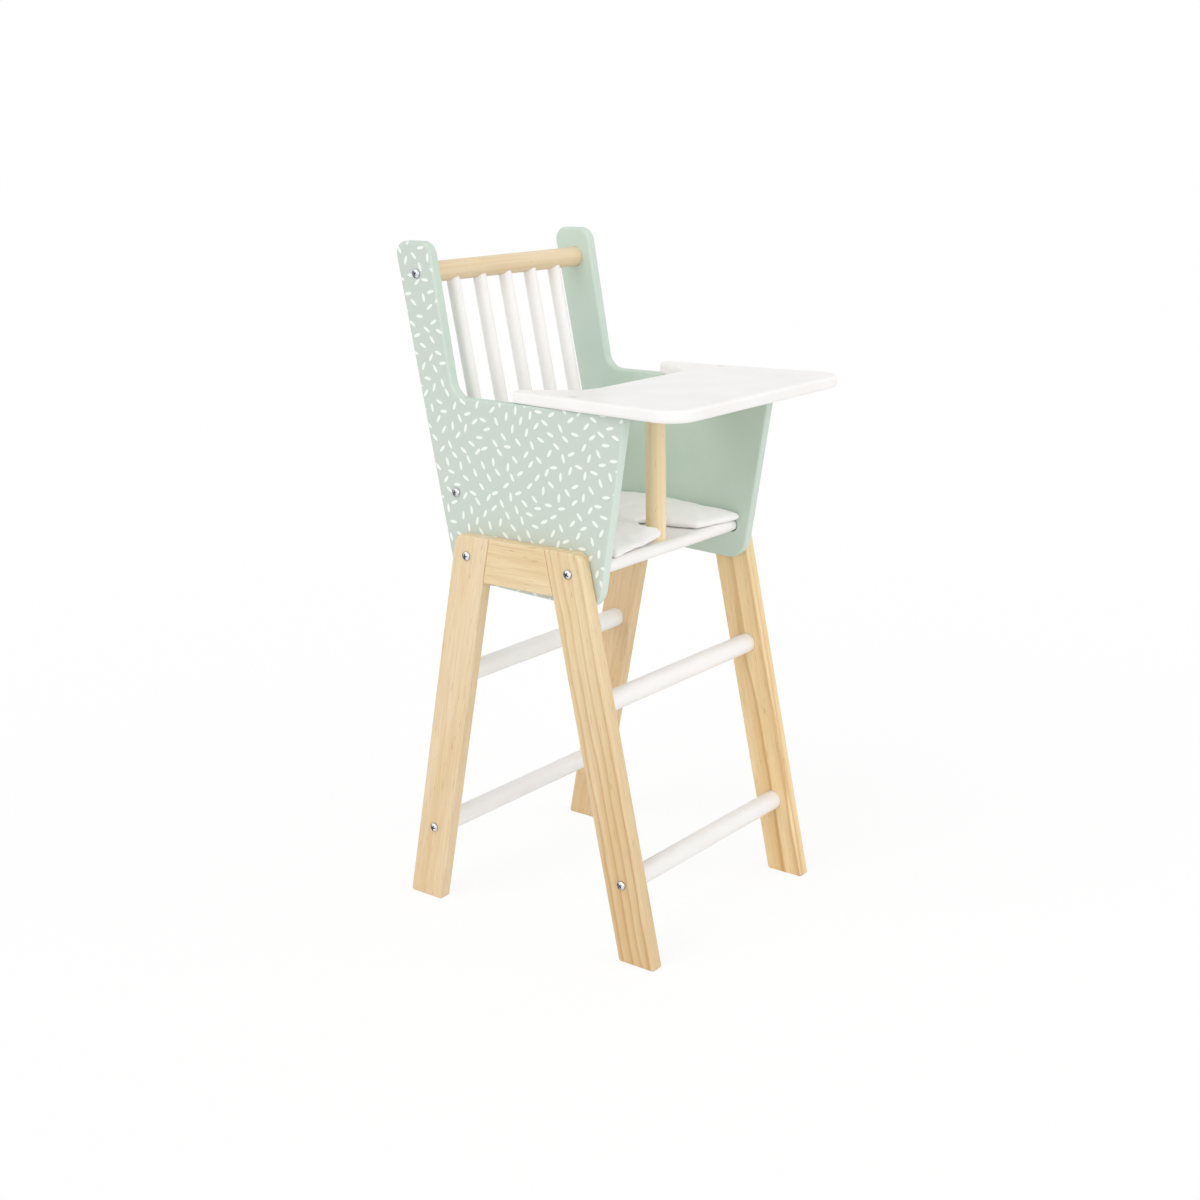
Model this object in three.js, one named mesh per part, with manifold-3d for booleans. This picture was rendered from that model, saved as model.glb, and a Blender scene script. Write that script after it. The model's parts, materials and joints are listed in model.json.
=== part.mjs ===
// Wooden doll high chair. Millimetres, +Z up, the tray points to -Y, left is -X as seen from the front.
// Each side is a splayed leg frame with a painted panel screwed to its inner face. The seat board,
// the rungs and the two back rails join the sides, and the tray lies on the arms of the panels.

import * as THREE from 'three';
import { mergeVertices } from 'three/addons/utils/BufferGeometryUtils.js';
import Module from 'manifold-3d';

const wasm = await Module();
wasm.setup();

// Leg frames
const FRAME_WIDTH = 250; // across the outer faces of the legs
const FOOT_SPREAD = 283; // from the front of the front feet to the back of the rear feet
const FRAME_HEIGHT = 354;
const LEG_THICKNESS = 12;
const LEG_WIDTH = 37;
const LEG_LEAN = THREE.MathUtils.degToRad(11.67);
const LEG_CORNER_RADIUS = 9;
const FOOT_CORNER_RADIUS = 2.5;
const FRAME_RAIL_HEIGHT = 40;
const GLUE_LINE = 0.1;
const WOOD_EASING = 1.6;

// Side panels, with an arm and a back post each
const PANEL_THICKNESS = 10;
const PANEL_DROP = 49.8; // from the top of the leg frame down to the lower front corner
const PANEL_BOTTOM_RISE = 6.3; // from that corner to the lower rear one
const ARM_RISE = 116; // from the top of the leg frame to the arm
const ARM_FRONT_Y = -107;
const POST_RISE = 130; // from the arm to the top of the back post
const POST_WIDTH = 40;
const POST_TOP_BACK_Y = 138.7;
const PANEL_BACK_LEAN = THREE.MathUtils.degToRad(11.3);
const PANEL_FRONT_LEAN = THREE.MathUtils.degToRad(9.84);
const POST_TOP_BACK_RADIUS = 11;
const POST_TOP_FRONT_RADIUS = 13;
const THROAT_RADIUS = 16;
const ARM_FRONT_RADIUS = 6;
const PANEL_BOTTOM_FRONT_RADIUS = 20;
const PANEL_BOTTOM_BACK_RADIUS = 14;
const PANEL_EASING = 1.8;

// Seat board, let into a groove in each panel
const SEAT_THICKNESS = 11;
const SEAT_DROP = 18; // from the top of the leg frame down to the middle of the board
const SEAT_FRONT_INSET = 12.46;
const SEAT_BACK_INSET = 8.95;
const SEAT_NOSE_SHARE = 0.49;
const SEAT_GROOVE_DEPTH = 5;
const SEAT_GROOVE_CLEARANCE = 0.9;

// Rungs
const RUNG_DIAMETER = 18;
const LOWER_RUNG_Z = 71.6;
const UPPER_RUNG_Z = 222.2;
const LOWER_RUNG_SOCKET = 4;
const UPPER_RUNG_SOCKET = 8;

// Back rails and spindles
const BACK_RAIL_DIAMETER = 18;
const BACK_TOP_RAIL_DROP = 27; // below the tops of the back posts
const BACK_BOTTOM_RAIL_RISE = 46.1; // above the seat board
const BACK_RAIL_SOCKET = 4;
const SPINDLE_DIAMETER = 12;
const SPINDLE_COUNT = 5;
const SPINDLE_END_DISTANCE = 34; // from a panel to the middle of the nearest spindle
const SPINDLE_SOCKET = 7;

// Tray board, with two tapered arms, and its post
const TRAY_THICKNESS = 10.5;
const TRAY_FRONT_OVERHANG = 62.5; // past the front of the panels' arms
const TRAY_SIDE_OVERHANG = 15.7; // past the outer faces of the panels, at the front
const TRAY_ARM_REACH = 120; // from the front of the panels' arms to the tips of the tray's arms
const TRAY_TIP_INSET = 2;
const TRAY_TIP_BREADTH = 11;
const TRAY_ARM_BREADTH = 30.5; // how far each arm reaches inside its panel, at the cut-out's corner
const TRAY_BEND_INSET = 45; // from the panel to where the cut-out's edge bends
const TRAY_POST_MARGIN = 8.6; // board left behind the post
const TRAY_EDGE_SWEEP = 4.4;
const TRAY_FRONT_RADIUS = 22;
const TRAY_TIP_RADIUS = 4;
const TRAY_INNER_RADIUS = 14;
const TRAY_BEND_RADIUS = 40;
const TRAY_EASING = 2.4;
const TRAY_POST_DIAMETER = 18;
const TRAY_POST_SETBACK = 16.3; // behind the front edge of the seat board
const TRAY_POST_SOCKET = 6;

// Fasteners
const SCREW_DIAMETER = 4;
const SCREW_LENGTH = 35;
const SCREW_POINT = 3;
const SCREW_HEAD_DIAMETER = 8;
const SCREW_HEAD_RIM = 1.1;
const SCREW_HEAD_HEIGHT = 2.7;
const SCREW_CROSS_LENGTH = 4.6;
const SCREW_CROSS_WIDTH = 1;
const SCREW_CROSS_DEPTH = 1.5;
const SEAT_SCREW_OFFSET = 2.8; // outwards from the middle of the leg
const TRAY_SCREW_SETBACK = 56.5; // behind the front of the panels' arms
const TRAY_SCREW_LENGTH = 30;
const TRAY_SCREW_HEAD_DEPTH = 2.4;
const TRAY_SCREW_SINK = 0.2;
const DOWEL_DIAMETER = 6;
const DOWEL_LENGTH = 30;
const DOWEL_CHAMFER = 0.8;
const DOWEL_HEIGHT_SHARES = [0.25, 0.75];

// Clearances
const ROD_CLEARANCE = 0.15;
const ROD_END_GAP = 0.2;
const SCREW_HOLE_CLEARANCE = 0.25;
const PILOT_CLEARANCE = 0.1;
const HOLE_OVERRUN = 2;

// Seat pad, with a front lobe either side of the post
const PAD_LEFT_GAP = 27;
const PAD_RIGHT_GAP = 1;
const PAD_FRONT_OVERHANG = 3.7;
const PAD_DEPTH = 135;
const PAD_POST_GAP = 4.5; // from the post to the left lobe
const PAD_SLOT_ROOM = 26; // from the post back to the end of the slot
const PAD_SLOT_SLANT = 6;
const PAD_LOBE_SETBACK = 8;
const PAD_EDGE_DRAW = 3.5;
const PAD_SIDE_DRAW = 4;
const PAD_CORNER_RADIUS = 9;
const PAD_WAIST_SETBACK = 8;
const PAD_WAIST_SHARE = 0.5;
const PAD_SEAM_HEIGHT = 5;
const PAD_HEIGHT = 13;
const PAD_ROUNDING = 19;
const PAD_CHANNEL_SETBACK = 20; // behind the end of the slot
const PAD_CHANNEL_DEPTH = 4;
const PAD_CHANNEL_WIDTH = 7;
const PAD_REST_GAP = 0.3;
const PAD_SLOT_COLUMN_SHARES = [0, 0.4, 0.74, 0.91];
const PAD_SLANT_COLUMN_SHARES = [0, 0.18, 0.36, 0.54, 0.75];
const PAD_LOBE_COLUMN_SHARES = [0, 0.09, 0.21, 0.37, 0.53, 0.69, 0.81, 0.91, 0.96, 1];

// Facets
const ARC_STEP = THREE.MathUtils.degToRad(13);
const SMALL_ARC_STEP = THREE.MathUtils.degToRad(30);
const SMALL_ARC_RADIUS = 5;
const EASING_SEGMENTS = 2;
const ROD_FACETS = 24;
const SCREW_FACETS = 12;
const PAD_ROWS = 12;
const PAD_RIM_POINTS = 90;
const WELD_DISTANCE = 0.001;

// Looks
const PINE = { color: 0xe6c48a, roughness: 0.5, metalness: 0 };
const BEECH = { color: 0xd9b37c, roughness: 0.7, metalness: 0 };
const MINT = { color: 0xb4cdbb, roughness: 0.45, metalness: 0 };
const WHITE = { color: 0xf2f1ee, roughness: 0.4, metalness: 0 };
const STEEL = { color: 0xb9bcc0, roughness: 0.3, metalness: 1 };
const CLOTH = { color: 0xf4f2ee, roughness: 0.95, metalness: 0 };

// Planes and lines that several pieces share
const LEG_OUTER_X = FRAME_WIDTH / 2;
const PANEL_OUTER_X = LEG_OUTER_X - LEG_THICKNESS;
const PANEL_INNER_X = PANEL_OUTER_X - PANEL_THICKNESS;
const PANEL_MIDDLE_X = PANEL_OUTER_X - PANEL_THICKNESS / 2;
const LEG_SPAN_Y = LEG_WIDTH / Math.cos(LEG_LEAN);
const ARM_TOP_Z = FRAME_HEIGHT + ARM_RISE;
const POST_TOP_Z = ARM_TOP_Z + POST_RISE;
const SEAT_CENTRE_Z = FRAME_HEIGHT - SEAT_DROP;
const SEAT_TOP_Z = SEAT_CENTRE_Z + SEAT_THICKNESS / 2;
const TRAY_TOP_Z = ARM_TOP_Z + TRAY_THICKNESS;
const BACK_TOP_RAIL_Z = POST_TOP_Z - BACK_TOP_RAIL_DROP;
const BACK_BOTTOM_RAIL_Z = SEAT_TOP_Z + BACK_BOTTOM_RAIL_RISE;

const legCentreY = (z) => (FOOT_SPREAD - LEG_SPAN_Y) / 2 - z * Math.tan(LEG_LEAN);
const panelBackY = (z) => POST_TOP_BACK_Y - (POST_TOP_Z - z) * Math.tan(PANEL_BACK_LEAN);
const panelFrontY = (z) => ARM_FRONT_Y + (ARM_TOP_Z - z) * Math.tan(PANEL_FRONT_LEAN);
const backRailY = (z) => panelBackY(z) - POST_WIDTH / 2;

const SEAT_FRONT_Y = panelFrontY(SEAT_CENTRE_Z) + SEAT_FRONT_INSET;
const SEAT_BACK_Y = panelBackY(SEAT_CENTRE_Z) - SEAT_BACK_INSET;
const TRAY_POST_Y = SEAT_FRONT_Y + TRAY_POST_SETBACK;

const SIDES = [{ name: 'left', sign: -1 }, { name: 'right', sign: 1 }];
const ENDS = [{ name: 'front', sign: -1 }, { name: 'rear', sign: 1 }];

// Turns that lay a piece drawn along Y along another axis of its group
const ALONG_X = new THREE.Euler(0, 0, -Math.PI / 2);
const ALONG_MINUS_X = new THREE.Euler(0, 0, Math.PI / 2);
const ALONG_Z = new THREE.Euler(Math.PI / 2, 0, 0);

// Outline through corners given as [u, v, radius], with each corner rounded by its radius
function roundedOutline(corners) {
  const points = corners.map(([u, v]) => new THREE.Vector2(u, v));
  const outline = [];
  points.forEach((corner, i) => {
    const radius = corners[i][2];
    if (radius === 0) {
      outline.push(corner);
      return;
    }
    const before = points.at(i - 1).clone().sub(corner).normalize();
    const after = points[(i + 1) % points.length].clone().sub(corner).normalize();
    const halfAngle = Math.acos(before.dot(after)) / 2;
    const bisector = before.clone().add(after).normalize();
    const centre = corner.clone().addScaledVector(bisector, radius / Math.sin(halfAngle));
    const start = corner.clone().addScaledVector(before, radius / Math.tan(halfAngle)).sub(centre);
    const turn = Math.sign(before.cross(after)) * (2 * halfAngle - Math.PI);
    const step = radius < SMALL_ARC_RADIUS ? SMALL_ARC_STEP : ARC_STEP;
    const steps = Math.max(1, Math.ceil(Math.abs(turn) / step));
    for (let k = 0; k <= steps; k += 1) {
      outline.push(start.clone().rotateAround(new THREE.Vector2(), (turn * k) / steps).add(centre));
    }
  });
  return outline;
}

// Board of an outline, from 0 to its thickness along the drawing's normal, with rounded-over edges
function board(outline, thickness, easing) {
  const geometry = new THREE.ExtrudeGeometry(new THREE.Shape(outline), {
    depth: thickness - 2 * easing,
    bevelEnabled: easing > 0,
    bevelThickness: easing,
    bevelSize: easing,
    bevelOffset: -easing,
    bevelSegments: EASING_SEGMENTS,
  });
  return geometry.translate(0, 0, easing);
}

const cylinder = (diameter, length, facets) => (
  new THREE.CylinderGeometry(diameter / 2, diameter / 2, length, facets)
);

// Piece turned about Y from a profile given as [radius, height], from one end of the axis to the other
const turned = (profile, facets) => (
  new THREE.LatheGeometry(profile.map(([radius, height]) => new THREE.Vector2(radius, height)), facets)
);

const chair = new THREE.Group();
chair.name = 'doll_high_chair';

function addPiece(group, name, geometry, look) {
  const piece = new THREE.Mesh(geometry, new THREE.MeshStandardMaterial(look));
  piece.name = name;
  group.add(piece);
  return piece;
}

// Round rod, centred at a point of its group and turned to lie along one of its axes
function addRod(group, name, diameter, length, look, position, turn) {
  const rod = addPiece(group, name, cylinder(diameter, length, ROD_FACETS), look);
  rod.position.copy(position);
  rod.rotation.copy(turn);
  rod.userData = { diameter, length, facets: ROD_FACETS };
  return rod;
}

// Group whose XY drawing plane stands as a side of the chair: X of a drawing runs back and Y runs up
function addSideGroup(x) {
  const group = new THREE.Group();
  const back = new THREE.Vector3(0, 1, 0);
  const up = new THREE.Vector3(0, 0, 1);
  const right = new THREE.Vector3(1, 0, 0);
  group.setRotationFromMatrix(new THREE.Matrix4().makeBasis(back, up, right));
  group.position.x = x;
  chair.add(group);
  return group;
}

// Side group of a board whose outer face stands at the distance outerX from the middle
const addBoardGroup = (side, outerX, thickness) => addSideGroup(side.sign > 0 ? outerX - thickness : -outerX);

// Cutting tool that is drawn in the frame of a piece and takes that piece's place
function toolAt(piece, geometry) {
  piece.updateWorldMatrix(true, false);
  const tool = new THREE.Mesh(geometry);
  tool.applyMatrix4(piece.matrixWorld);
  return tool;
}

function toSolid(mesh) {
  mesh.updateWorldMatrix(true, false);
  const bare = new THREE.BufferGeometry();
  bare.setAttribute('position', mesh.geometry.getAttribute('position').clone());
  if (mesh.geometry.index) {
    bare.setIndex(mesh.geometry.index.clone());
  }
  const welded = mergeVertices(bare.applyMatrix4(mesh.matrixWorld), WELD_DISTANCE);
  return new wasm.Manifold(new wasm.Mesh({
    numProp: 3,
    vertProperties: new Float32Array(welded.getAttribute('position').array),
    triVerts: new Uint32Array(welded.index.array),
  }));
}

// Cuts a placed piece with placed tools, and keeps it in its own frame
function cut(piece, tools) {
  const solid = tools.reduce((body, tool) => body.subtract(toSolid(tool)), toSolid(piece));
  const mesh = solid.getMesh();
  const positions = new THREE.BufferAttribute(new Float32Array(mesh.vertProperties), mesh.numProp);
  const geometry = new THREE.BufferGeometry();
  geometry.setAttribute('position', positions);
  geometry.setIndex(new THREE.BufferAttribute(new Uint32Array(mesh.triVerts), 1));
  piece.geometry = geometry.applyMatrix4(piece.matrixWorld.clone().invert());
}

// Blind hole that takes the end of a rod, with room around it and at its end
function socket(rod) {
  const { diameter, length, facets } = rod.userData;
  return toolAt(rod, cylinder(diameter + 2 * ROD_CLEARANCE, length + 2 * ROD_END_GAP, facets));
}

// A screw has its origin where its length is measured from, with the shank towards its own -Y
function shankHole(screw, clearance) {
  const { length } = screw.userData;
  const hole = cylinder(SCREW_DIAMETER + 2 * clearance, length + 2 * HOLE_OVERRUN, SCREW_FACETS);
  return toolAt(screw, hole.translate(0, -length / 2, 0));
}

const clearanceHole = (screw) => shankHole(screw, SCREW_HOLE_CLEARANCE);
const pilotHole = (screw) => shankHole(screw, PILOT_CLEARANCE);

// The two bars of the cross that is pressed into a screw's head
function crossRecess(screw, headTop) {
  const depth = SCREW_CROSS_DEPTH + HOLE_OVERRUN;
  const middle = headTop + depth / 2 - SCREW_CROSS_DEPTH;
  return [
    new THREE.BoxGeometry(SCREW_CROSS_LENGTH, depth, SCREW_CROSS_WIDTH),
    new THREE.BoxGeometry(SCREW_CROSS_WIDTH, depth, SCREW_CROSS_LENGTH),
  ].map((bar) => toolAt(screw, bar.translate(0, middle, 0)));
}

function addScrew(name, profile, length, position, turn) {
  const screw = addPiece(chair, name, turned(profile, SCREW_FACETS), STEEL);
  screw.position.copy(position);
  screw.rotation.copy(turn);
  screw.userData = { length };
  const headTop = profile.at(-1)[1];
  cut(screw, crossRecess(screw, headTop));
  return screw;
}

function panHeadProfile() {
  const shank = SCREW_DIAMETER / 2;
  const head = SCREW_HEAD_DIAMETER / 2;
  const crownRise = SCREW_HEAD_HEIGHT - SCREW_HEAD_RIM;
  const crown = [0, 1 / 3, 2 / 3].map((share) => {
    const angle = (share * Math.PI) / 2;
    return [head * Math.cos(angle), SCREW_HEAD_RIM + crownRise * Math.sin(angle)];
  });
  const point = [[0, -SCREW_LENGTH], [shank, SCREW_POINT - SCREW_LENGTH]];
  return [...point, [shank, 0], [head, 0], ...crown, [0, SCREW_HEAD_HEIGHT]];
}

// Pan-head screws that go straight in from both sides, with their heads on faces at the distance x
function addScrewPair(name, x, y, z) {
  return SIDES.map((side) => {
    const turn = side.sign > 0 ? ALONG_X : ALONG_MINUS_X;
    const position = new THREE.Vector3(side.sign * x, y, z);
    return addScrew(`${side.name}_${name}_screw`, panHeadProfile(), SCREW_LENGTH, position, turn);
  });
}

// Countersunk screws that go down through the tray into the panels
function addTrayScrews() {
  const shank = SCREW_DIAMETER / 2;
  const headBottom = -TRAY_SCREW_HEAD_DEPTH;
  const profile = [
    [0, -TRAY_SCREW_LENGTH],
    [shank, SCREW_POINT - TRAY_SCREW_LENGTH],
    [shank, headBottom],
    [SCREW_HEAD_DIAMETER / 2, 0],
    [0, 0],
  ];
  const y = ARM_FRONT_Y + TRAY_SCREW_SETBACK;
  return SIDES.map((side) => {
    const position = new THREE.Vector3(side.sign * PANEL_MIDDLE_X, y, TRAY_TOP_Z - TRAY_SCREW_SINK);
    return addScrew(`${side.name}_tray_screw`, profile, TRAY_SCREW_LENGTH, position, ALONG_Z);
  });
}

// Sink for a countersunk head, with room around it and open above
function countersink(screw) {
  const shank = SCREW_DIAMETER / 2 + PILOT_CLEARANCE;
  const head = SCREW_HEAD_DIAMETER / 2 + PILOT_CLEARANCE;
  const bottom = -TRAY_SCREW_HEAD_DEPTH - PILOT_CLEARANCE;
  const profile = [[0, bottom], [shank, bottom], [head, 0], [head, HOLE_OVERRUN], [0, HOLE_OVERRUN]];
  return toolAt(screw, turned(profile, SCREW_FACETS));
}

// Rungs between the leg frames, at one height
function addRungPair(level, z, socketDepth) {
  const length = 2 * (PANEL_OUTER_X + socketDepth - ROD_END_GAP);
  return ENDS.map((end) => {
    const position = new THREE.Vector3(0, end.sign * legCentreY(z), z);
    return addRod(chair, `${level}_${end.name}_rung`, RUNG_DIAMETER, length, WHITE, position, ALONG_X);
  });
}

// Dowel pins that hold the frame rail between its two legs
function addDowels(frame, side) {
  const tip = DOWEL_DIAMETER / 2 - DOWEL_CHAMFER;
  const half = DOWEL_LENGTH / 2;
  const rightHalf = [[DOWEL_DIAMETER / 2, half - DOWEL_CHAMFER], [tip, half], [0, half]];
  const profile = [...rightHalf.map(([radius, height]) => [radius, -height]).reverse(), ...rightHalf];
  return ENDS.flatMap((end) => DOWEL_HEIGHT_SHARES.map((share, i) => {
    const z = FRAME_HEIGHT - FRAME_RAIL_HEIGHT * share;
    const name = `${side.name}_${end.name}_dowel_${i + 1}`;
    const dowel = addPiece(frame, name, turned(profile, SCREW_FACETS), BEECH);
    dowel.position.set(end.sign * (legCentreY(z) - LEG_SPAN_Y / 2), z, LEG_THICKNESS / 2);
    dowel.rotation.copy(ALONG_X);
    dowel.userData = { diameter: DOWEL_DIAMETER, length: DOWEL_LENGTH, facets: SCREW_FACETS };
    return dowel;
  }));
}

// Rear leg, in the plane of its frame; the front leg is the same piece turned round
function addLegs(frame, side) {
  const outer = (z) => legCentreY(z) + LEG_SPAN_Y / 2;
  const inner = (z) => legCentreY(z) - LEG_SPAN_Y / 2;
  const outline = roundedOutline([
    [outer(0), 0, FOOT_CORNER_RADIUS],
    [outer(FRAME_HEIGHT), FRAME_HEIGHT, LEG_CORNER_RADIUS],
    [inner(FRAME_HEIGHT), FRAME_HEIGHT, 0],
    [inner(0), 0, FOOT_CORNER_RADIUS],
  ]);
  const [front, rear] = ENDS.map((end) => (
    addPiece(frame, `${side.name}_${end.name}_leg`, board(outline, LEG_THICKNESS, WOOD_EASING), PINE)
  ));
  front.rotation.y = Math.PI;
  front.position.z = LEG_THICKNESS;
  return [front, rear];
}

function addFrameRail(frame, side) {
  const bottomZ = FRAME_HEIGHT - FRAME_RAIL_HEIGHT;
  const halfLength = (z) => legCentreY(z) - LEG_SPAN_Y / 2 - GLUE_LINE;
  const outline = [
    new THREE.Vector2(-halfLength(bottomZ), bottomZ),
    new THREE.Vector2(halfLength(bottomZ), bottomZ),
    new THREE.Vector2(halfLength(FRAME_HEIGHT), FRAME_HEIGHT),
    new THREE.Vector2(-halfLength(FRAME_HEIGHT), FRAME_HEIGHT),
  ];
  return addPiece(frame, `${side.name}_frame_rail`, board(outline, LEG_THICKNESS, WOOD_EASING), PINE);
}

// Two legs that lean towards each other, with a rail dowelled between their upper ends
function addLegFrame(side, rungs, screws) {
  const frame = addBoardGroup(side, LEG_OUTER_X, LEG_THICKNESS);
  const dowels = addDowels(frame, side).map(socket);
  const holes = [...rungs.map(socket), ...screws.map(clearanceHole)];
  addLegs(frame, side).forEach((leg) => cut(leg, [...dowels, ...holes]));
  cut(addFrameRail(frame, side), dowels);
}

// Side panel: an arm in front, a post behind, and a groove inside for the end of the seat board
function addPanel(side) {
  const bottomFrontZ = FRAME_HEIGHT - PANEL_DROP;
  const bottomBackZ = bottomFrontZ + PANEL_BOTTOM_RISE;
  const postFrontY = POST_TOP_BACK_Y - POST_WIDTH;
  const throatY = postFrontY - POST_RISE * Math.tan(PANEL_FRONT_LEAN);
  const outline = roundedOutline([
    [panelFrontY(bottomFrontZ), bottomFrontZ, PANEL_BOTTOM_FRONT_RADIUS],
    [panelBackY(bottomBackZ), bottomBackZ, PANEL_BOTTOM_BACK_RADIUS],
    [POST_TOP_BACK_Y, POST_TOP_Z, POST_TOP_BACK_RADIUS],
    [postFrontY, POST_TOP_Z, POST_TOP_FRONT_RADIUS],
    [throatY, ARM_TOP_Z, THROAT_RADIUS],
    [ARM_FRONT_Y, ARM_TOP_Z, ARM_FRONT_RADIUS],
  ]);
  const group = addBoardGroup(side, PANEL_OUTER_X, PANEL_THICKNESS);
  return addPiece(group, `${side.name}_side_panel`, board(outline, PANEL_THICKNESS, PANEL_EASING), MINT);
}

// Section of the seat board with bull-nosed edges, or of the groove that takes it with some room
function seatOutline(clearance) {
  const halfThickness = SEAT_THICKNESS / 2 + clearance;
  const nose = 2 * halfThickness * SEAT_NOSE_SHARE;
  return roundedOutline([
    [SEAT_FRONT_Y - clearance, SEAT_CENTRE_Z - halfThickness, nose],
    [SEAT_BACK_Y + clearance, SEAT_CENTRE_Z - halfThickness, nose],
    [SEAT_BACK_Y + clearance, SEAT_CENTRE_Z + halfThickness, nose],
    [SEAT_FRONT_Y - clearance, SEAT_CENTRE_Z + halfThickness, nose],
  ]);
}

function addSeatBoard() {
  const halfLength = PANEL_INNER_X + SEAT_GROOVE_DEPTH - ROD_END_GAP;
  const seat = addPiece(addSideGroup(0), 'seat_board', board(seatOutline(0), 2 * halfLength, 0), WHITE);
  seat.position.z = -halfLength;
  return seat;
}

// Grooves at both ends of the seat board, in one tool that also passes through the room between the panels
function seatGrooves(seat) {
  const length = 2 * (PANEL_INNER_X + SEAT_GROOVE_DEPTH);
  const groove = board(seatOutline(SEAT_GROOVE_CLEARANCE), length, 0);
  return toolAt(seat, groove.translate(0, 0, -ROD_END_GAP));
}

// Back: two round rails across, with spindles let into both, in a group that leans with the posts
function addBack() {
  const back = new THREE.Group();
  back.position.set(0, backRailY(BACK_BOTTOM_RAIL_Z), BACK_BOTTOM_RAIL_Z);
  back.rotation.x = -PANEL_BACK_LEAN;
  chair.add(back);

  const height = (BACK_TOP_RAIL_Z - BACK_BOTTOM_RAIL_Z) / Math.cos(PANEL_BACK_LEAN);
  const railLength = 2 * (PANEL_INNER_X + BACK_RAIL_SOCKET - ROD_END_GAP);
  const rails = [['back_bottom_rail', 0], ['back_top_rail', height]].map(([name, z]) => (
    addRod(back, name, BACK_RAIL_DIAMETER, railLength, PINE, new THREE.Vector3(0, 0, z), ALONG_X)
  ));
  const spindleLength = height - BACK_RAIL_DIAMETER + 2 * (SPINDLE_SOCKET - ROD_END_GAP);
  const endX = PANEL_INNER_X - SPINDLE_END_DISTANCE;
  const spindles = Array.from({ length: SPINDLE_COUNT }, (_, i) => {
    const x = THREE.MathUtils.mapLinear(i, 0, SPINDLE_COUNT - 1, -endX, endX);
    const middle = new THREE.Vector3(x, 0, height / 2);
    return addRod(back, `back_spindle_${i + 1}`, SPINDLE_DIAMETER, spindleLength, WHITE, middle, ALONG_Z);
  });
  return { rails, spindles };
}

// Tray with two tapered arms that lie on the panels, and a cut-out between them for the doll
function addTrayBoard() {
  const tipInnerX = PANEL_OUTER_X - TRAY_TIP_INSET - TRAY_TIP_BREADTH;
  const tipY = ARM_FRONT_Y + TRAY_ARM_REACH;
  const rearEdgeY = TRAY_POST_Y + TRAY_POST_DIAMETER / 2 + TRAY_POST_MARGIN;
  const right = [
    [PANEL_OUTER_X + TRAY_SIDE_OVERHANG, ARM_FRONT_Y - TRAY_FRONT_OVERHANG, TRAY_FRONT_RADIUS],
    [PANEL_OUTER_X - TRAY_TIP_INSET, tipY, TRAY_TIP_RADIUS],
    [tipInnerX, tipY, TRAY_TIP_RADIUS],
    [PANEL_INNER_X - TRAY_ARM_BREADTH, rearEdgeY + TRAY_EDGE_SWEEP, TRAY_INNER_RADIUS],
    [PANEL_INNER_X - TRAY_BEND_INSET, rearEdgeY, TRAY_BEND_RADIUS],
  ];
  const left = right.map(([x, y, radius]) => [-x, y, radius]).reverse();
  const tray = board(roundedOutline([...right, ...left]), TRAY_THICKNESS, TRAY_EASING);
  const piece = addPiece(chair, 'tray_board', tray, WHITE);
  piece.position.z = ARM_TOP_Z;
  return piece;
}

// Post that stands in a blind hole of the seat board and carries the tray in another
function addTrayPost() {
  const bottomZ = SEAT_TOP_Z - TRAY_POST_SOCKET + ROD_END_GAP;
  const topZ = ARM_TOP_Z + TRAY_POST_SOCKET - ROD_END_GAP;
  const middle = new THREE.Vector3(0, TRAY_POST_Y, (bottomZ + topZ) / 2);
  return addRod(chair, 'tray_post', TRAY_POST_DIAMETER, topZ - bottomZ, PINE, middle, ALONG_Z);
}

// Seat pad: a stuffed cushion that lies on the seat board and reaches round the post
const PAD_HALF_WIDTH = PANEL_INNER_X - (PAD_LEFT_GAP + PAD_RIGHT_GAP) / 2;
const PAD_CENTRE_X = (PAD_LEFT_GAP - PAD_RIGHT_GAP) / 2;
const PAD_FRONT_Y = SEAT_FRONT_Y - PAD_FRONT_OVERHANG;
const PAD_BACK_Y = PAD_FRONT_Y + PAD_DEPTH;
const PAD_SLOT_HALF_WIDTH = PAD_CENTRE_X + TRAY_POST_DIAMETER / 2 + PAD_POST_GAP;
const PAD_SLOT_BACK_Y = TRAY_POST_Y + TRAY_POST_DIAMETER / 2 + PAD_SLOT_ROOM;

// How far a rounded corner of the pad draws an edge back at a distance from the pad's centre line
function padCornerDraw(distance) {
  const outside = Math.max(0, distance - (PAD_HALF_WIDTH - PAD_CORNER_RADIUS));
  return PAD_CORNER_RADIUS - Math.sqrt(Math.max(0, PAD_CORNER_RADIUS ** 2 - outside ** 2));
}

// Front edge of the pad at a distance from its centre line: across the lobes, and back inside the slot
function padFrontY(distance) {
  const slotShare = (distance - PAD_SLOT_HALF_WIDTH) / (PAD_HALF_WIDTH - PAD_SLOT_HALF_WIDTH);
  const across = THREE.MathUtils.clamp(slotShare, 0, 1);
  const draw = PAD_LOBE_SETBACK * (1 - across) + PAD_EDGE_DRAW * Math.sin(Math.PI * across);
  const slantEnd = PAD_SLOT_HALF_WIDTH + PAD_SLOT_SLANT;
  const inSlot = 1 - THREE.MathUtils.smoothstep(distance, PAD_SLOT_HALF_WIDTH, slantEnd);
  return THREE.MathUtils.lerp(PAD_FRONT_Y + draw, PAD_SLOT_BACK_Y, inSlot) + padCornerDraw(distance);
}

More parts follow.
